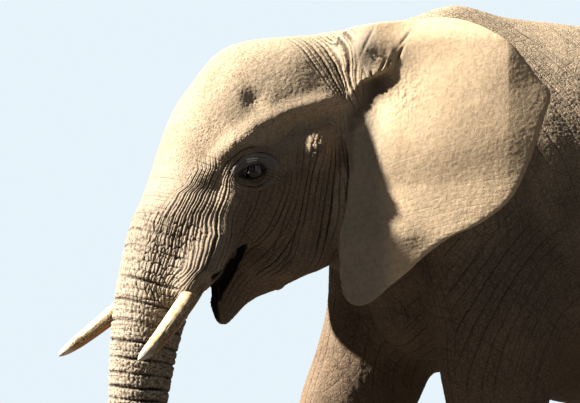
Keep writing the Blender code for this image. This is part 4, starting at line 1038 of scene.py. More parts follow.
    lift(0.031 * rest * ramp(s, 0.1, 0.15) * np.exp(-(((x - 0.112) / 0.055) ** 2) - ((z - 1.932) / 0.062) ** 2))
    cut(np.clip(hollow * 0.5 + gland * 0.9, 0, 1) * rest * ramp(s, 0.1, 0.15), ramp(e[1], 0.30, 0.0), 0.0050, e[2], 0.0020, 0.50)

    # ---- folds before the ear's root, and down behind the cheek
    c = between(ROOT_FRONT, ROOT_BACK, x, z) + 0.025 * wob + 0.03 * wide
    m = ramp(c, -0.55, 0.10) * ramp(c, 1.5, 1.2) * ramp(z, 2.10, 2.17) * ramp(z, 2.46, 2.41) * ramp(s, 0.06, 0.12) * (1 - ear)
    lines("A", m, c * 5.2 + 0.08 * wob2, 0.022, 0.0130, 0.0056, 101, 0.7, z * 8, 0.0040, 1.1, 0.0030)
    lines("B", m, c * 11 + 0.2 * wob, 0.011, 0.0024, 0.0020, 102, 0.1, z * 14, 0, 0.7)
    m = ramp(x, 0.215, 0.240) * ramp(x, 0.40, 0.34) * ramp(z, 1.50, 1.60) * ramp(z, 2.20, 2.12) * ramp(s, 0.2, 0.25) * (1 - ear)
    lines("B", m, (x + 0.10 * (z - 1.9) + 0.003 * wob) / 0.022, 0.022, 0.0060, 0.0032, 103, 0.4, z * 5, 0.0012, 1.0)

    # ---- the ears
    face = ear * ramp(off / core, 0.0, 0.5)
    line = np.array(ROLL_EDGE)
    line = np.stack([np.interp(np.linspace(0, 1, 90), np.linspace(0, 1, len(line)), line[:, k]) for k in (0, 1)], 1)
    pick = np.flatnonzero((face > 0) & (t < 0.42) & (z > 1.95))
    gap2 = np.hypot(t[pick][:, None] - line[None, :, 0], z[pick][:, None] - line[None, :, 1])
    at = gap2.argmin(1)
    tan = np.gradient(line, axis=0)[at]
    away = gap2.min(1) * np.sign((t[pick] - line[at, 0]) * -tan[:, 1] + (z[pick] - line[at, 1]) * tan[:, 0])
    fade = np.interp(at, (0, 10, 34, 56, 74, 89), (0.5, 1.0, 1.0, 0.60, 0.20, 0.0))
    roll = np.where(away > 0, 0.036 * np.exp(-((away / 0.070) ** 2)), -0.016 * np.exp(-((away / 0.050) ** 2)))
    f.high[pick] += face[pick] * fade * roll * ramp(np.abs(away), -0.004, 0.012)
    # A painted shadow under the ear's roll, later painted near black along with the mouth's shade.
    painted_roll_shadow = none.copy()
    painted_roll_shadow[pick] = face[pick] * np.interp(at, (0, 8, 46, 60, 89), (0.6, 1.0, 1.0, 0.25, 0.0)) * ramp(away, 0.006, -0.008) * ramp(away, -0.110, -0.060)
    for t0, z0, t1, z1, deep in ((0.055, 2.265, 0.075, 2.205, 0.006), (0.088, 2.255, 0.094, 2.215, 0.006), (0.140, 2.285, 0.118, 2.240, 0.008), (0.165, 2.300, 0.140, 2.245, 0.009), (0.100, 2.420, 0.045, 2.290, 0.003), (0.235, 2.405, 0.185, 2.330, 0.004), (0.212, 2.350, 0.176, 2.268, 0.005)):
        dt, dz = t1 - t0, z1 - z0
        u = np.clip(((t - t0) * dt + (z - z0) * dz) / (dt * dt + dz * dz), 0, 1)
        away2 = np.hypot(t - t0 - u * dt, z - z0 - u * dz)
        cut(face, np.clip(1 - away2 / 0.009, 0, 1) ** 1.3 * np.sin(np.clip(u, 0.08, 0.92) * math.pi), deep, None, 0, 0.8)
    tz = np.stack([t, z, side * 3.1 + np.sign(off) * 1.7], 1)
    e = cells(tz / np.array((0.016, 0.011, 1)) + 0.5 * np.stack([wob2, wob2, none], 1), 111, 0.9, flat=False)
    pit = np.exp(-(((t - 0.17) / 0.09) ** 2 + ((z - 2.15) / 0.09) ** 2))
    cut(ear, ramp(e[1], 0.34, 0.02), 0.0005, e[2], 0.0004, 0.08)
    cut(face * pit, ramp(e[1], 0.45, 0.02), 0.0022, e[2], 0.0024, 0.25)
    lift(ear * (0.0006 * clouds(tz * np.array((5, 8, 1)), 112) + 0.0005 * clouds(tz * 30, 113)))
    lines("A", ear * (0.25 + 0.75 * ramp(z, 2.05, 1.85)), (z - 0.27 * t + 0.022 * cloud(tz * 5, 114) + 0.003 * wob2) / 0.0125, 0.0125, 0.0007, 0.0010, 115, 0.0, t * 21, 0, 0.15)
    lines("B", ear * 0.6, (t * 0.8 + z + 0.03 * cloud(tz * 4, 117)) / 0.055, 0.045, 0.0009, 0.0016, 118, 0.0, t * 9, 0, 0.14)
    rib = np.cos(np.arctan2(z - 1.98, t + 0.05) * 14 + 1.8 * cloud(tz * 4, 116))
    lift(ear * ramp(share, 0.35, 0.80) * 0.0018 * rib)

    # ---- neck, body and legs: crossed sets of long creases
    body = ramp(x, 0.28, 0.42) * rest
    lies = lambda gx, gy, gz: ramp(np.sqrt(np.clip(1 - (gx * n[:, 0] + gy * n[:, 1] + gz * n[:, 2]) ** 2, 0, 1)), 0.45, 0.80)  # where lines that follow each other this way lie along the skin
    up_here = ramp(z, 0.72, 0.92)
    w1 = 0.030 * clouds(flip * 2.2, 121) + 0.005 * wob + 0.0015 * wob2
    w2 = 0.030 * clouds(flip * 2.2 + 11, 122) + 0.005 * wob2 + 0.002 * wob3
    r1 = np.hypot(x - 0.06, z - 1.49) + w1  # down and back over neck and shoulder, upright on the flank
    turn1 = np.arctan2(z - 1.49, x - 0.06)
    shoulder = np.exp(-(((x - 0.86) / 0.34) ** 4 + ((z - 1.30) / 0.40) ** 4))
    high = ramp(z, 1.95, 2.15)
    a1 = lies(np.cos(turn1), 0, np.sin(turn1))
    m = body * up_here * (1 - 0.85 * shoulder * ramp(z, 1.72, 1.52)) * (0.75 + 0.25 * high) * a1
    lines("A", m, r1 / 0.0330, 0.0330, 0.0040, 0.0017, 123, 0.10, turn1 * 9 + z * 4, 0.0008, 0.8, 0.0095)
    lines("C", m * (0.35 + 0.5 * high), r1 / 0.0130 + 0.3 * wob, 0.0130, 0.0008, 0.0015, 125, 0.0, turn1 * 16 + z * 7, 0, 0.6, 0.0095)
    m = body * up_here * (1 - shoulder) * (0.30 + 0.40 * np.clip(0.5 + cloud(flip * 2.1, 127), 0, 1))
    lines("B", m * lies(0.287, 0, 0.958), (z + 0.30 * x + w2) / 0.036, 0.034, 0.0022, 0.0014, 124, 0.0, x * 9, 0.0004, 0.55, 0.0095)
    r2 = np.hypot((x - 1.58) / 1.155, z - 1.016) + 0.5 * w1  # forward and down over the shoulder, upright on the upper leg
    turn2 = np.arctan2(z - 1.016, (x - 1.58) / 1.155)
    a2 = lies(np.cos(turn2), 0, np.sin(turn2))
    lines("B", body * shoulder * a2, r2 / 0.0400, 0.0400, 0.0044, 0.0020, 128, 0.60, z * 4, 0.0010, 0.85, 0.0060)
    lines("C", body * shoulder * lies(0.57, 0, 0.82), (0.57 * x + 0.82 * z + 0.5 * w2) / 0.0290, 0.0290, 0.0024, 0.0014, 129, 0.10, x * 7, 0, 0.60, 0.0060)
    lines("A", body * shoulder * 0.8 * a2, r2 / 0.0150 + 0.3 * wob, 0.0150, 0.0010, 0.0014, 130, 0.0, z * 12, 0, 0.6, 0.0060)
    low = 1 - up_here
    e = cells(np.stack([x, s, z * 0.8], 1) / 0.021 + 0.4 * np.stack([wob2, wob, wob2], 1) + 17, 139)
    cut(body * low, ramp(e[1], 0.20, 0.0), 0.0024, e[2], 0.0012, 0.45)
    joint = np.clip(np.exp(-(((z - 0.62) / 0.15) ** 2)) + 0.5 * np.exp(-(((z - 1.02) / 0.10) ** 2)) + 0.6 * np.exp(-(((z - 0.22) / 0.08) ** 2)), 0, 1)
    lines("A", body * low * (0.45 + 0.55 * joint), (z + 0.025 * np.sin(x * 9) + 0.5 * w2) / 0.026, 0.026, 0.0044, 0.0020, 131, 0.15, (x + s) * 8, 0.0012, 0.9, 0.0095)
    front = ramp(np.abs(n[:, 0]), 0.55, 0.85)  # chest, and the legs' fronts and backs
    lines("B", body * front * ramp(z, 0.15, 0.30), (y + 0.6 * w1 + 0.02 * np.sin(z * 7 + side)) / 0.030, 0.030, 0.0036, 0.0017, 137, 0.2, z * 6, 0.0008, 0.75, 0.0095)
    lines("A", body * front * up_here, (z + 0.15 * s + 0.8 * w2) / 0.040, 0.040, 0.0016, 0.0013, 138, 0.0, y * 9, 0.0002, 0.45, 0.0095)
    lines("C", body * ramp(z, 1.45, 1.15) * (1 - shoulder) * (1 - front) * lies(0.707, 0.0, 0.0), (x * 0.7 + s * 0.7 + w1) / 0.036, 0.036, 0.0036, 0.0022, 134, 0.1, z * 5, 0.0008, 0.8, 0.0095)
    e = cells(flip * np.array((1, 1, 0.62)) / 0.030 + 0.5 * np.stack([wob, wob2, wob], 1), 132)
    cut(body * (0.20 + 0.80 * low), ramp(e[1], 0.18, 0.0), 0.0030, e[2], 0.0010, 0.45)
    e = cells(flip / 0.0150 + 9, 133)
    cut(body, ramp(e[1], 0.28, 0.02), 0.0010, e[2], 0.0006, 0.15)
    lift(body * 0.0030 * clouds(flip * 7, 134))

    # ---- nostrils in the trunk's tip
    line = flowing(TRUNK, 260)
    end, way = line[-1, :3], line[-1, :3] - line[-8, :3]
    way = way / np.linalg.norm(way)
    q = co - end
    ahead = q @ way
    beside = q - ahead[:, None] * way
    hole = none.copy()
    for k in (-1, 1):
        d = np.linalg.norm(beside - np.array((0, k * 0.019, 0)), axis=1)
        hole = np.maximum(hole, ramp(d, 0.016, 0.006))
    hole = hole * ((ahead > -0.02) & (ahead < 0.08) & (x < -0.15))

    move = f.high * ramp(z, 0.004, 0.030)
    out = co + n * move[:, None]
    flat = -0.006 * np.sin(t * 21 + z * 11) * np.clip(t / 0.2, 0, 1) - 0.012 * bell(t, z, 0.300, 2.02, 0.17, 0.22) + 0.026 * np.clip((t - 0.34) / 0.42, 0, 1) ** 2 + 0.014 * bell(t, z, 0.42, 1.80, 0.10, 0.10)
    out += (ear * flat)[:, None] * np.stack([none - math.sin(EAR_OPEN), side * math.cos(EAR_OPEN), none], 1)
    out -= way * (0.045 * hole)[:, None]
    out[:, 2] += 0.033 * ramp(x, -0.415, -0.335) * ramp(x, -0.200, -0.265) * ramp(z, 1.480, 1.405) * ramp(z, 1.330, 1.365) * ramp(s, 0.165, 0.200)
    out[:, 2] = np.maximum(out[:, 2], 0.0)
    set_co(mesh, out)

    # Near-black painted shade: the spout's trough, inside the mouth, the hollow under the lip, the gap between the lips
    # and the painted shadow under the ear's roll.
    trough = ramp(np.hypot((x + 0.215) / 0.066, y / 0.040), 1.12, 0.92) * ramp(z, 1.268, 1.30) * ramp(z, 1.62, 1.58) * ramp(td, 1.02, 1.15)
    inner = ramp(z, 1.46, 1.49) * ramp(z, 1.60, 1.57) * ramp(x, -0.21, -0.19) * ramp(x, -0.08, -0.10) * ramp(s, 0.09, 0.07)
    hollow = ramp(z, 1.350, 1.375) * ramp(z, 1.50, 1.48) * ramp(x, -0.265, -0.245) * ramp(x, -0.148, -0.160) * ramp(s, 0.060, 0.040) * ramp(td, 1.02, 1.12)
    mouth = trough + inner + hollow + 0.72 * painted_roll_shadow + ramp(part, 0.15, 0.6)
    # The lids' dark margins, and painted shade in the gap between them and in the hollow round the eye, most of it
    # below.
    almond = np.sqrt((ex / 0.064) ** 2 + ((ez - 0.10 * ex) / 0.0275) ** 2)
    lid = by_eye * np.maximum.reduce([ramp(eyegap, 1.22, 1.02), ramp(almond, 1.10, 0.88), 0.50 * ramp(rho, 0.085, 0.045) * (1 - 0.75 * up)])
    # Dust on the skin's tops, and painted light as well: faces turned up and forward, toward the key, and the head's
    # top are made paler because the light falls there.
    dust_and_painted_light = ramp(n[:, 2] * 0.95 - n[:, 0] * 0.45 + 0.25 * clouds(flip * 4, 141), -0.35, 0.75) * (0.25 + 0.75 * ramp(z, 1.15, 1.75)) * (1 - 0.55 * ramp(z, 2.00, 1.60) * ramp(x, -0.15, -0.36)) + 0.35 * ramp(z, 1.98, 2.25)
    # Paint masks: the crease mark is painted shade in the creases and the nostrils; the rise mark is a painted
    # highlight on the folds' raised tops; the upper lid's mark holds a painted sheen and painted highlights.
    marks = {"crease": np.clip(f.dark + hole, 0, 1), "rise": np.clip(f.high / 0.0050, 0, 1), "ear": ear, "lid": lid, "mouth": mouth, "trunk": trunk * ramp(ts, 0.0, 0.50), "body": body, "dust_and_painted_light": dust_and_painted_light, "painted_lid_sheen": eye * up * ramp(rho, 0.080, 0.062) * ramp(eyegap, 1.1, 1.3) + painted_lid_highlight}
    for key, v in f.sets.items():
        marks["run" + key], marks["put" + key], marks["wide" + key] = v["run"], v["put"], v["wide"]
    for name, v in marks.items():
        a = mesh.attributes.new(name, "FLOAT", "POINT")
        a.data.foreach_set("value", np.ascontiguousarray(v, dtype=np.float32))
    return ob


def make_skin(voxel=0.0105):
    skin = sculpt(flesh(voxel))
    ears = []
    for side in (-1, 1):
        ears.append(ear_sheet(side, 150, 34, spare=STOUT))
        ears.append(ball("filling", (0.238, side * 0.262, 1.715), (0.050, 0.060, 0.170)))  # between cheek and ear
    skin = joined("skin", [skin] + ears)
    remesh(skin, voxel)
    fillet(skin, 0.010, voxel)
    relax(skin, 0.5, 1)
    thin_ears(skin)

    def head(m):
        t, _, off, share, _ = ear_address(m)
        front = ((m[:, 0] < 0.42) & (m[:, 2] > 1.22)) | (m[:, 0] < -0.12)
        return front | ((np.abs(m[:, 1]) > 0.33) & (m[:, 0] < 0.98) & (share < 1.12) & (np.abs(off) < 0.03)) | ((m[:, 0] > 0.40) & (m[:, 0] < 1.25) & (m[:, 2] > 1.00) & (np.abs(m[:, 1]) > 0.30))

    finer(skin, head)
    finer(skin, lambda m: (m[:, 0] < 0.27) & (m[:, 2] > 1.34) & (m[:, 2] < 2.02) & (np.abs(m[:, 1]) > 0.10) & (m[:, 0] > -0.52))
    eye = lambda m, far: (m[:, 0] - OPENING[0]) ** 2 / 1.6 + (m[:, 2] - OPENING[2]) ** 2 + (np.abs(m[:, 1]) - 0.27) ** 2 < far**2
    finer(skin, lambda m: eye(m, 0.040))
    return wrinkle(skin)


# ---------------------------------------------------------------- the other pieces
def smooth(ob):
    ob.data.polygons.foreach_set("use_smooth", [True] * len(ob.data.polygons))
    return ob


def make_eye(side):
    """An eyeball with a clear, slightly fuller front."""
    ob = ball("eyeball", (0, 0, 0), (EYE_R - 0.0006,) * 3, (0, 0, 0), 64, 48)
    look = np.array((-0.42, side * 0.907, 0.02))
    look /= np.linalg.norm(look)
    co = co_of(ob.data)
    ahead = (co @ look) / EYE_R
    co *= (1 + 0.035 * ramp(ahead, 0.86, 1.0))[:, None]
    set_co(ob.data, co + np.array((EYE[0], side * EYE[1], EYE[2])))
    a = ob.data.attributes.new("ahead", "FLOAT", "POINT")
    a.data.foreach_set("value", ahead.astype(np.float32))
    return smooth(ob)


def make_tusk(side):
    rows = TUSK_LEFT if side < 0 else TUSK_RIGHT
    count, segs = 190, 72
    ob = tube("tusk", rows, count, segs)
    co, n = co_of(ob.data), normals_of(ob.data)
    k = np.arange(len(co)) // segs
    turn = np.arange(len(co)) % segs / segs * 2 * math.pi
    run = k / count
    way = np.stack([np.cos(turn) * 1.6, np.sin(turn) * 1.6, run * 3.0], 1)
    long_ = cells(way * np.array((3.4, 3.4, 0.9)) + side, 201)[1]
    cracks = ramp(long_, 0.10, 0.0) * ramp(cloud(way * 1.7, 202), -0.1, 0.5)
    rings = np.sin(run * 150 + 2 * cloud(way * 2, 203)) * ramp(cloud(way * 2.2, 204), -0.2, 0.5)
    worn = ramp(run, 0.90, 0.98) * np.clip(cloud(way * 3, 205), 0, 1)
    set_co(ob.data, co + n * (-0.0012 * cracks + 0.00025 * rings - 0.0020 * worn + 0.0006 * cloud(way * 2.5, 206))[:, None] * ramp(run, 1.0, 0.985)[:, None])
    for name, v in (("crack", cracks), ("run", run), ("turn", -n[:, 2])):
        a = ob.data.attributes.new(name, "FLOAT", "POINT")
        a.data.foreach_set("value", np.ascontiguousarray(v, dtype=np.float32))
    return smooth(ob)


def make_nail(foot, side, turn, fore, seed):
    """A toenail with growth ridges and a worn lower edge."""
    x, y, rx, ry = foot
    a = math.radians(turn)
    px = x - rx * math.cos(a) * 0.965
    py = side * y + ry * math.sin(a) * 0.965
    r = (0.0200, 0.040 if fore else 0.034, 0.044)
    ob = ball("nail", (0, 0, 0), r, (0, 0, 0), 56, 36)
    co = co_of(ob.data)
    ridge = np.sin(co[:, 2] / 0.0042 + 1.5 * cloud(co * 60, seed)) * 0.5 + cloud(co * 120, seed + 1)
    co *= (1 + 0.012 * ridge - 0.02 * ramp(cloud(co * 40, seed + 2), 0.2, 0.8))[:, None]
    set_co(ob.data, co)
    ob.data.transform(Matrix.Translation((px, py, 0.052)) @ Matrix.Rotation(-a, 4, "Z") @ Matrix.Rotation(math.radians(14), 4, "Y"))
    co = co_of(ob.data)
    co[:, 2] = np.maximum(co[:, 2], 0.0065)
    set_co(ob.data, co)
    return smooth(ob)


def strand(points, radii, sides=3):
    """A hair as a thin closed tube."""
    p, r = np.array(points, float), np.array(radii, float)
    d = np.gradient(p, axis=0)
    d /= np.linalg.norm(d, axis=1)[:, None]
    ref = np.array((0.31, 0.22, 0.92)) if abs(d[0][2]) < 0.8 else np.array((0.9, 0.35, 0.1))
    u = np.cross(d, ref)
    u /= np.linalg.norm(u, axis=1)[:, None]
    v = np.cross(d, u)
    a = np.arange(sides) / sides * 2 * math.pi
    rings = p[:, None] + r[:, None, None] * (np.cos(a)[None, :, None] * u[:, None] + np.sin(a)[None, :, None] * v[:, None])
    n = len(p)
    faces = [(i * sides + j, i * sides + (j + 1) % sides, (i + 1) * sides + (j + 1) % sides, (i + 1) * sides + j) for i in range(n - 1) for j in range(sides)]
    faces += [tuple(range(sides))[::-1], tuple((n - 1) * sides + j for j in range(sides))]
    return rings.reshape(-1, 3), faces


def hair_mesh(name, hairs, places):
    """Many hairs as one mesh. Each hair gets a small patch on the bake map at its given place."""
    verts, faces, uv, base = [], [], [], 0
    for (p, f), (a, b) in zip(hairs, places):
        verts.append(p)
        for face in f:
            faces.append([base + i for i in face])
            m = len(face)
            for j in range(m):
                w = j / m * 2 * math.pi
                uv.append((a + 0.0013 * math.cos(w), b + 0.0013 * math.sin(w)))
        base += len(p)
    mesh = bpy.data.meshes.new(name)
    mesh.from_pydata(np.vstack(verts).tolist(), [], faces)
    layer = mesh.uv_layers.new(name="OFBake")
    layer.data.foreach_set("uv", np.clip(np.array(uv, np.float32), 0, 1).ravel())
    bm = bmesh.new()
    bm.from_mesh(mesh)
    bmesh.ops.recalc_face_normals(bm, faces=bm.faces)
    bm.to_mesh(mesh)
    bm.free()
    ob = bpy.data.objects.new(name, mesh)
    bpy.context.scene.collection.objects.link(ob)
    return smooth(ob)


def tail_hair():
    """The tail's tuft: long stiff hairs in two ranks, in locks that lie down round the tail's end."""
    rng = np.random.default_rng(5)
    line = flowing(TUFT, 60)
    hairs, places = [], []
    for k in range(900):
        start = rng.beta(1.3, 1.6) * 0.62
        turn = (0 if rng.random() < 0.5 else math.pi) + rng.normal(0, 0.75)
        lock = math.sin(turn * 7 + start * 20)
        i0 = int(start * 45)
        length = rng.uniform(0.16, 0.40) * (1.1 - 0.5 * start)
        base = line[i0, :3]
        reach = line[i0, 3] * rng.uniform(0.35, 0.55)
        pts, steps = [], 9
        for j in range(steps):
            u = j / (steps - 1)
            z = base[2] - length * u
            row = np.array([np.interp(z, line[::-1, 2], line[::-1, c]) for c in (0, 1, 3)])
            rad = reach * (1 - u) + u * row[2] * (0.50 + 0.45 * math.sin(k * 12.9898) ** 2) * (1 - 0.35 * u)
            rad = min(rad, row[2] * 0.95)
            w = turn + 0.25 * lock * u + 0.2 * math.sin(k * 3.7) * u
            pts.append((row[0] + rad * math.sin(w) * 0.8, row[1] + rad * math.cos(w), max(z, 0.535)))
        thick = rng.uniform(0.0011, 0.0019)
        hairs.append(strand(pts, thick * (1 - 0.85 * np.linspace(0, 1, steps) ** 2)))
        places.append((0.05 + 0.9 * ((turn / (2 * math.pi)) % 1), 0.05 + 0.9 * start))
    return hair_mesh("tail_hair", hairs, places)


def lashes(side):
    """Pale lashes, long on the upper lid, that hang over the eye."""
    rng = np.random.default_rng(11 if side < 0 else 12)
    hairs, places = [], []
    for k in range(24):
        upper = k < 18
        u = rng.uniform(-0.62, 0.62)
        a = math.acos(u)
        dx = GAP_WIDE * u * 1.02
        lean = (GAP_TALL if upper else -GAP_TALL * 1.08) * math.sin(a) * 1.02
        x, z = OPENING[0] + dx, OPENING[2] + lean + 0.10 * dx
        rho2 = (x - EYE[0]) ** 2 + (z - EYE[2]) ** 2
        h = EYE[1] + math.sqrt(max((EYE_R + 0.004) ** 2 - rho2, 1e-5))
        root = np.array((x, side * h, z))
        length = rng.uniform(0.024, 0.042) if upper else rng.uniform(0.010, 0.018)
        out = np.array((-0.30, side * 0.95, 0.0))
        fan = np.array((u * 0.95 + rng.normal(0, 0.22) - 0.10, 0, 0))
        pts = []
        for j in range(8):
            w = j / 7
            drop = (-0.75 if upper else 0.35) * w - (0.25 * w * w if upper else 0)
            pts.append(root + length * (w * fan + out * 0.55 * w * (1.15 - 0.5 * w) + np.array((0, 0, drop))))
        hairs.append(strand(pts, 0.00085 * (1 - 0.8 * np.linspace(0, 1, 8) ** 1.5)))
        places.append((0.5 + 0.4 * u, 0.5 + (0.2 if upper else -0.2)))
    return hair_mesh("lashes", hairs, places)


# ---------------------------------------------------------------- materials
class Nodes:
    """A short way of writing a material's nodes."""

    def __init__(self, name):
        self.mat = bpy.data.materials.new(name)
        self.mat.use_nodes = True
        self.tree = self.mat.node_tree
        self.shader = self.tree.nodes["Principled BSDF"]
        self.place = self.add("ShaderNodeTexCoord").outputs["Object"]

    def add(self, kind, **facts):
        n = self.tree.nodes.new(kind)
        for k, v in facts.items():
            setattr(n, k, v)
        return n

    def put(self, socket, value):
        if isinstance(value, bpy.types.NodeSocket):
            self.tree.links.new(value, socket)
        else:
            socket.default_value = value

    def mark(self, name):
        return self.add("ShaderNodeAttribute", attribute_name=name).outputs["Fac"]

    def noise(self, scale, detail=4.0, rough=0.55, vector=None, distort=0.0):
        n = self.add("ShaderNodeTexNoise")
        self.put(n.inputs["Vector"], vector or self.place)
        self.put(n.inputs["Scale"], scale)
        self.put(n.inputs["Detail"], detail)
        self.put(n.inputs["Roughness"], rough)
        self.put(n.inputs["Distortion"], distort)
        return n.outputs["Fac"]

    def cells(self, scale, feature="DISTANCE_TO_EDGE", vector=None):
        n = self.add("ShaderNodeTexVoronoi", feature=feature)
        self.put(n.inputs["Vector"], vector or self.place)
        self.put(n.inputs["Scale"], scale)
        return n.outputs["Distance"]

    def stretch(self, x, y, z, vector=None):
        n = self.add("ShaderNodeMapping")
        self.put(n.inputs["Vector"], vector or self.place)
        n.inputs["Scale"].default_value = (x, y, z)
        return n.outputs["Vector"]

    def band(self, value, lo, hi, a=0.0, b=1.0):
        n = self.add("ShaderNodeMapRange", interpolation_type="SMOOTHSTEP")
        for k, v in (("Value", value), ("From Min", lo), ("From Max", hi), ("To Min", a), ("To Max", b)):
            self.put(n.inputs[k], v)
        return n.outputs["Result"]

    def sum(self, a, b, how="ADD"):
        n = self.add("ShaderNodeMath", operation=how)
        self.put(n.inputs[0], a)
        self.put(n.inputs[1], b)
        return n.outputs["Value"]

    def mix(self, share, a, b, how="MIX"):
        n = self.add("ShaderNodeMix", data_type="RGBA", blend_type=how)
        self.put(n.inputs["Factor"], share)
        for k, v in ((6, a), (7, b)):
            self.put(n.inputs[k], (*v, 1) if isinstance(v, tuple) else v)
        return n.outputs[2]

    def bump(self, height, distance, strength=1.0, after=None):
        n = self.add("ShaderNodeBump")
        self.put(n.inputs["Height"], height)
        self.put(n.inputs["Distance"], distance)
        self.put(n.inputs["Strength"], strength)
        if after is not None:
            self.put(n.inputs["Normal"], after)
        return n.outputs["Normal"]

    def finish(self, colour, rough, normal=None, specular=0.35):
        self.put(self.shader.inputs["Base Color"], (*colour, 1) if isinstance(colour, tuple) else colour)
        self.put(self.shader.inputs["Roughness"], rough)
        self.shader.inputs["Specular IOR Level"].default_value = specular
        if normal is not None:
            self.put(self.shader.inputs["Normal"], normal)
        return self.mat


def drawn(m, key, rough):
    """One set of creases as thin lines: 1 in the middle of a line, 0 beside it. The paint darkens them as painted
    shade.
    """
    run, put, wide = m.mark("run" + key), m.mark("put" + key), m.mark("wide" + key)
    n = m.add("ShaderNodeMath", operation="PINGPONG")
    m.put(n.inputs[0], run)
    n.inputs[1].default_value = 0.5
    off = m.sum(m.sum(n.outputs[0], wide, "DIVIDE"), m.band(rough, 0.25, 0.75, -0.4, 0.4))
    return m.sum(m.band(off, 0.30, 1.25, 1.0, 0.0), put, "MULTIPLY")


def hide_paint():
    m = Nodes("hide")
    crease, rise, ear, lid, mouth, trunk, dust_and_painted_light = (m.mark(k) for k in ("crease", "rise", "ear", "lid", "mouth", "trunk", "dust_and_painted_light"))
    broad = m.noise(1.7, 3.0, 0.5)
    patch = m.noise(7.0, 5.0, 0.6)
    grain = m.noise(60.0, 4.0, 0.65)
    fine = m.noise(260.0, 2.0, 0.6)
    base = m.mix(m.band(broad, 0.35, 0.65), (0.195, 0.137, 0.093), (0.240, 0.170, 0.116))
    base = m.mix(m.band(patch, 0.42, 0.70), base, (0.175, 0.132, 0.098))
    sand = m.mix(m.band(patch, 0.35, 0.65), (0.520, 0.413, 0.292), (0.455, 0.358, 0.250))
    # Dust-coloured sand, partly painted light: the mark is also paler on faces turned toward the key and on the head's
    # top.
    base = m.mix(m.sum(m.band(m.sum(dust_and_painted_light, m.sum(patch, 0.4, "MULTIPLY")), 0.45, 1.05), 0.85, "MULTIPLY"), base, sand)
    base = m.mix(m.sum(ear, 0.85, "MULTIPLY"), base, m.mix(m.band(patch, 0.30, 0.70), (0.620, 0.470, 0.315), (0.580, 0.438, 0.292)))
    apart = m.add("ShaderNodeSeparateXYZ")
    m.put(apart.inputs[0], m.place)
    # Painted light: the crown is painted pale, standing in for the sun on the top of the head.
    pale = m.sum(m.band(apart.outputs["Z"], 1.98, 2.20), m.band(apart.outputs["X"], -1.54, -1.30), "MULTIPLY")
    pale = m.sum(m.sum(pale, m.sum(1.0, ear, "SUBTRACT"), "MULTIPLY"), 0.57, "MULTIPLY")
    base = m.mix(pale, base, (0.740, 0.590, 0.425))
    # Painted light: the ear's lower part is painted paler where the key falls bright on it.
    lower = m.sum(ear, m.band(apart.outputs["Z"], 1.95, 1.65, 0.0, 0.70), "MULTIPLY")
    base = m.mix(lower, base, (0.780, 0.600, 0.410))
    # Painted shade: a darker strip along the ear's front edge, where the head's shadow falls.
    inner = m.sum(ear, m.band(apart.outputs["X"], -0.927, -1.002, 0.0, 0.75), "MULTIPLY")
    base = m.mix(inner, base, (0.330, 0.290, 0.235))
    cheek = m.sum(m.band(apart.outputs["X"], -1.49, -1.60, 0.0, 0.45), m.band(apart.outputs["Z"], 1.95, 1.80), "MULTIPLY")
    base = m.mix(cheek, base, (0.460, 0.392, 0.312))
    base = m.mix(m.sum(trunk, 0.70, "MULTIPLY"), base, (0.430, 0.367, 0.292))
    base = m.mix(m.sum(trunk, m.band(apart.outputs["Z"], 1.80, 1.20, 0.0, 0.55), "MULTIPLY"), base, (0.560, 0.480, 0.385))
    legs = m.band(apart.outputs["Z"], 1.45, 1.15, 0.0, 0.55)
    base = m.mix(m.sum(m.sum(1.0, trunk, "SUBTRACT"), legs, "MULTIPLY"), base, (0.235, 0.154, 0.094))
    # Painted highlight: the raised tops of folds are painted paler.
    base = m.mix(m.sum(m.band(rise, 0.1, 0.9), 0.30, "MULTIPLY"), base, (0.500, 0.395, 0.280))
    # Painted shade: darker in the creases and the nostrils.
    base = m.mix(m.sum(m.band(crease, 0.05, 0.72), 0.74, "MULTIPLY"), base, (0.052, 0.035, 0.025))
    grit = m.noise(135.0, 3.0, 0.7)
    skin = m.sum(1.0, ear, "SUBTRACT")
    base = m.mix(m.sum(m.band(grain, 0.42, 0.66), 0.25, "MULTIPLY"), base, (0.130, 0.096, 0.070))
    base = m.mix(m.sum(m.sum(m.band(grit, 0.50, 0.62), skin, "MULTIPLY"), 0.50, "MULTIPLY"), base, (0.085, 0.062, 0.046))
    base = m.mix(m.sum(m.sum(m.band(grit, 0.48, 0.38), skin, "MULTIPLY"), 0.22, "MULTIPLY"), base, (0.470, 0.375, 0.275))
    base = m.mix(m.sum(m.band(fine, 0.55, 0.75), 0.22, "MULTIPLY"), base, (0.500, 0.400, 0.300))
    # Painted sheen: a bluish-grey sheen on the upper lid, then near-white painted highlights on its arcs.
    base = m.mix(m.sum(m.mark("painted_lid_sheen"), 0.75, "MULTIPLY"), base, (0.215, 0.225, 0.255))
    base = m.mix(m.band(m.mark("painted_lid_sheen"), 1.05, 1.45, 0.0, 0.95), base, (0.850, 0.850, 0.860))
    # The lids' dark margins, and painted shade in the gap between them and round the eye.
    base = m.mix(m.sum(lid, 0.90, "MULTIPLY"), base, (0.022, 0.019, 0.018))
    # Painted shade: thin dark lines down the creases, finer than the mesh.
    thin = m.sum(m.sum(drawn(m, "A", grain), drawn(m, "B", grain), "MAXIMUM"), drawn(m, "C", grain), "MAXIMUM")
    base = m.mix(m.sum(thin, 0.90, "MULTIPLY"), base, (0.022, 0.015, 0.011))
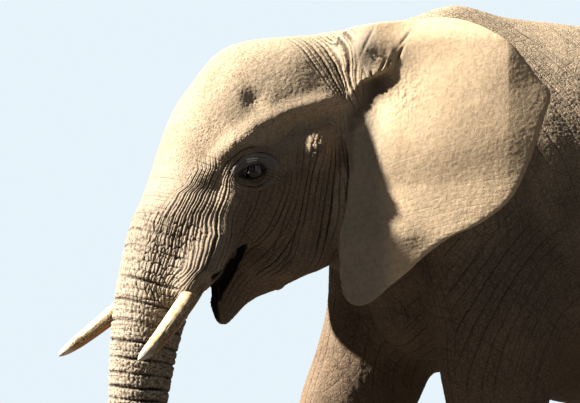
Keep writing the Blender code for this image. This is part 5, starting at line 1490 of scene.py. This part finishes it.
    # Painted shade: near black in the mouth, its trough and hollows, and under the ear's roll.
    base = m.mix(mouth, base, (0.007, 0.005, 0.004))
    body = m.mark("body")
    warp = m.add("ShaderNodeVectorMath", operation="MULTIPLY_ADD")
    colour = m.add("ShaderNodeTexNoise")
    m.put(colour.inputs["Vector"], m.place)
    m.put(colour.inputs["Scale"], 14.0)
    m.put(colour.inputs["Detail"], 3.0)
    m.put(warp.inputs[0], colour.outputs["Color"])
    warp.inputs[1].default_value = (0.030, 0.030, 0.030)
    m.put(warp.inputs[2], m.place)
    plate = m.band(m.cells(30.0, vector=m.stretch(1, 1, 0.70, warp.outputs["Vector"])), 0.0, 0.085, 1.0, 0.0)
    bead = m.band(m.cells(72.0, vector=m.stretch(1, 1, 0.85, warp.outputs["Vector"])), 0.0, 0.11, 1.0, 0.0)
    net = m.sum(body, m.sum(m.sum(plate, 0.55, "MULTIPLY"), m.sum(bead, 0.38, "MULTIPLY"), "MAXIMUM"), "MULTIPLY")
    net = m.sum(net, m.band(patch, 0.30, 0.62, 0.35, 1.0), "MULTIPLY")
    # Painted shade: darker in the grooves between the skin's plates and beads.
    base = m.mix(m.sum(net, 0.75, "MULTIPLY"), base, (0.050, 0.036, 0.027))
    plates = m.cells(190.0)
    normal = m.bump(m.band(plates, 0.0, 0.10, 0.0, 1.0), 0.0007, 0.45)
    normal = m.bump(grain, 0.0022, 0.6, normal)
    normal = m.bump(grit, 0.0012, m.band(ear, 0.0, 1.0, 0.7, 0.25), normal)
    normal = m.bump(fine, 0.0009, 0.6, normal)
    normal = m.bump(m.sum(1.0, net, "SUBTRACT"), 0.0040, 0.7, normal)
    normal = m.bump(m.sum(1.0, thin, "SUBTRACT"), 0.0040, 0.9, normal)
    rough = m.band(patch, 0.3, 0.7, 0.72, 0.90)
    return m.finish(base, rough, normal, 0.30)


def eye_paint():
    m = Nodes("eye_wet")
    ahead = m.mark("ahead")
    streak = m.noise(420.0, 4.0, 0.6, m.stretch(1, 1, 0.3))
    brown = m.mix(m.band(streak, 0.35, 0.7), (0.012, 0.006, 0.003), (0.038, 0.018, 0.007))
    white = m.mix(m.noise(90.0), (0.016, 0.011, 0.009), (0.032, 0.021, 0.017))
    c = m.mix(m.band(ahead, 0.80, 0.84), white, brown)
    c = m.mix(m.band(ahead, 0.955, 0.965), c, (0.003, 0.002, 0.002))
    m.shader.inputs["Coat Weight"].default_value = 0.35
    m.shader.inputs["Coat Roughness"].default_value = 0.02
    return m.finish(c, m.band(streak, 0.2, 0.8, 0.10, 0.2), m.bump(streak, 0.0002, 0.3), 0.5)


def tusk_paint():
    m = Nodes("ivory")
    crack, run, turn = m.mark("crack"), m.mark("run"), m.mark("turn")
    stain = m.noise(26.0, 5.0, 0.6, m.stretch(1, 1, 1), 0.4)
    grain = m.noise(220.0, 3.0, 0.6, m.stretch(1, 1, 0.4))
    speck = m.noise(210.0, 3.0, 0.7)
    wave = m.sum(turn, m.band(stain, 0.2, 0.8, -0.35, 0.35))
    c = m.mix(m.band(stain, 0.38, 0.68), (0.80, 0.67, 0.46), (0.68, 0.49, 0.27))
    c = m.mix(m.sum(m.band(wave, 0.05, 0.55), 0.95, "MULTIPLY"), c, (0.48, 0.225, 0.072))
    c = m.mix(m.sum(m.band(run, 0.27, 0.45, 0.80, 0.0), m.band(wave, -0.5, 0.2, 0.35, 1.0), "MULTIPLY"), c, (0.36, 0.165, 0.070))
    belt = m.sum(m.band(wave, -0.55, -0.10), m.band(wave, 0.72, 0.32), "MULTIPLY")
    dots = m.band(speck, 0.44, 0.52)
    c = m.mix(m.sum(m.sum(belt, dots, "MULTIPLY"), 0.92, "MULTIPLY"), c, (0.080, 0.048, 0.027))
    c = m.mix(m.sum(m.band(speck, 0.54, 0.66), 0.40, "MULTIPLY"), c, (0.26, 0.165, 0.090))
    c = m.mix(m.sum(m.band(run, 0.88, 0.95), 0.70, "MULTIPLY"), c, (0.83, 0.79, 0.70))
    c = m.mix(m.sum(crack, 0.90, "MULTIPLY"), c, (0.070, 0.045, 0.026))
    normal = m.bump(speck, 0.0006, 0.6, m.bump(grain, 0.0004, 0.5))
    return m.finish(c, m.band(stain, 0.3, 0.7, 0.28, 0.46), normal, 0.45)


def nail_paint():
    m = Nodes("nail_horn")
    streak = m.noise(70.0, 4.0, 0.6, m.stretch(1, 1, 0.25))
    dirt = m.noise(30.0, 5.0, 0.65)
    c = m.mix(m.band(streak, 0.35, 0.68), (0.150, 0.122, 0.092), (0.235, 0.196, 0.150))
    c = m.mix(m.sum(m.band(dirt, 0.45, 0.7), 0.6, "MULTIPLY"), c, (0.100, 0.077, 0.057))
    return m.finish(c, m.band(dirt, 0.3, 0.7, 0.42, 0.65), m.bump(streak, 0.0008, 0.5), 0.4)


def hair_paint(name, dark, light):
    m = Nodes(name)
    c = m.mix(m.band(m.noise(55.0, 2.0, 0.5), 0.35, 0.65), dark, light)
    return m.finish(c, m.band(m.noise(30.0), 0.3, 0.7, 0.45, 0.6), m.bump(m.noise(500.0), 0.0003, 0.3), 0.4)


# ---------------------------------------------------------------- the model
def at_frame():
    """How far the frame's origin lies from the tables' own, read off the left eye."""
    lo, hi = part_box("eye_left")
    return np.array(((lo[0] + hi[0]) / 2 - EYE[0], (lo[1] + hi[1]) / 2 + EYE[1], 0.0))


SHIFT = at_frame()


def settle(ob, name, body, slot, *nodes):
    """Moves a piece from the tables' place to the frame's, names it, hangs it from its body and hides the frame's parts
    that it stands for.
    """
    ob.name = name
    ob.data.name = name
    ob.data.transform(Matrix.Translation(SHIFT))
    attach(ob, body)
    if nodes:
        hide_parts(*nodes)
    return ob


def clothe(ob, mat):
    ob.data.materials.clear()
    ob.data.materials.append(mat)
    return ob


flesh_nodes = [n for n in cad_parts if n.split("_")[0] in ("ear", "foot", "head", "leg", "lower", "neck", "torso", "trunk") or n == "tail"]
skin = smooth(make_skin())
clothe(skin, hide_paint())
settle(skin, "skin", "root", "hide", *flesh_nodes)

ivory, wet, horn = tusk_paint(), eye_paint(), nail_paint()
for side, tag in ((-1, "left"), (1, "right")):
    settle(clothe(make_eye(side), wet), "eyeball_" + tag, "root", "eye", "eye_" + tag)
    settle(clothe(make_tusk(side), ivory), "ivory_" + tag, "root", "tusk", "tusk_" + tag)
    settle(clothe(lashes(side), hair_paint("lash_" + tag, (0.42, 0.40, 0.37), (0.62, 0.60, 0.56))), "lashes_" + tag, "root", "tail_hair")

f, g, h = FORE_NEAR[-3], FORE_FAR[-3], HIND[-3]
places = (("front_left", -1, f[1:], True), ("front_right", 1, g[1:], True), ("hind_left", -1, h[1:], False), ("hind_right", 1, (h[1] + HIND_STEP, *h[2:]), False))
turns = {True: (-52, -20, 14, 48), False: (-38, 0, 38)}
for i, (name, side, foot, fore) in enumerate(places):
    for k, turn in enumerate(turns[fore]):
        settle(clothe(make_nail(foot, side, turn, fore, 300 + i * 10 + k), horn), f"nail_{name}_{k + 1}", "root", "toenail", f"toenail_{name}_{k + 1}")
settle(clothe(tail_hair(), hair_paint("tail_black", (0.012, 0.010, 0.009), (0.035, 0.028, 0.022))), "tail_hair", "root", "tail_hair", "tail_tuft")

# ---------------------------------------------------------------- floor, light and camera
mesh = bpy.data.meshes.new("floor")
mesh.from_pydata([(-60, -60, 0), (60, -60, 0), (60, 60, 0), (-60, 60, 0)], [], [(0, 1, 2, 3)])
ground = bpy.data.objects.new("floor", mesh)
bpy.context.scene.collection.objects.link(ground)
m = Nodes("floor_pale")
clothe(ground, m.finish(m.mix(m.noise(0.8), (0.250, 0.245, 0.238), (0.265, 0.260, 0.252)), 0.8, None, 0.2))
dim = m.add("ShaderNodeBsdfDiffuse")  # a grey cloth under the light thrown back at the model
dim.inputs["Color"].default_value = (0.068, 0.063, 0.058, 1)
which = m.add("ShaderNodeLightPath")
both = m.add("ShaderNodeMixShader")
m.put(both.inputs[0], which.outputs["Is Camera Ray"])
m.put(both.inputs[1], dim.outputs[0])
m.put(both.inputs[2], m.shader.outputs[0])
m.put(m.tree.nodes["Material Output"].inputs["Surface"], both.outputs[0])
ground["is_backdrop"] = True

world = bpy.data.worlds.new("sky")
bpy.context.scene.world = world
world.use_nodes = True
tree = world.node_tree
back = tree.nodes["Background"]
back.inputs["Color"].default_value = (0.78, 0.88, 1.0, 1)
back.inputs["Strength"].default_value = FILL
seen = tree.nodes.new("ShaderNodeBackground")
seen.inputs["Color"].default_value = (0.800, 0.900, 0.960, 1)
seen.inputs["Strength"].default_value = 1.0
path = tree.nodes.new("ShaderNodeLightPath")
either = tree.nodes.new("ShaderNodeMixShader")
tree.links.new(path.outputs["Is Camera Ray"], either.inputs[0])
tree.links.new(back.outputs[0], either.inputs[1])
tree.links.new(seen.outputs[0], either.inputs[2])
tree.links.new(either.outputs[0], tree.nodes["World Output"].inputs["Surface"])

lamp = bpy.data.lights.new("key", "SUN")
lamp.energy = KEY
lamp.angle = math.radians(KEY_SIZE)
lamp.color = (1.0, 0.925, 0.80)
key = bpy.data.objects.new("key", lamp)
key.rotation_euler = Vector(KEY_FROM).to_track_quat("Z", "Y").to_euler()
bpy.context.scene.collection.objects.link(key)

turn = math.radians(27)
right = Vector((math.cos(turn), -math.sin(turn), 0))
ahead = Vector((math.sin(turn), math.cos(turn), 0))
stand_at = right * 0.1386 - ahead * 16.0 + Vector((0, 0, 0.70)) + Vector(SHIFT)
aim = right * 0.1386 + Vector((0, 0, 1.75)) + Vector(SHIFT)
lens = bpy.data.cameras.new("camera")
lens.sensor_width = 36
lens.lens = 36 * (aim - stand_at).length / (580 * 0.00385)
lens.clip_end = 200
camera = bpy.data.objects.new("camera", lens)
camera.location = stand_at
camera.rotation_euler = (aim - stand_at).to_track_quat("-Z", "Y").to_euler()
bpy.context.scene.collection.objects.link(camera)
bpy.context.scene.camera = camera
bpy.context.scene.view_settings.view_transform = "Standard"
bpy.context.scene.view_settings.look = "None"


def plain(b):
    return [list(v) if hasattr(v, "__len__") else v for v in b]


{"before": plain(FIRST_BOUNDS), "after": plain(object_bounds())}
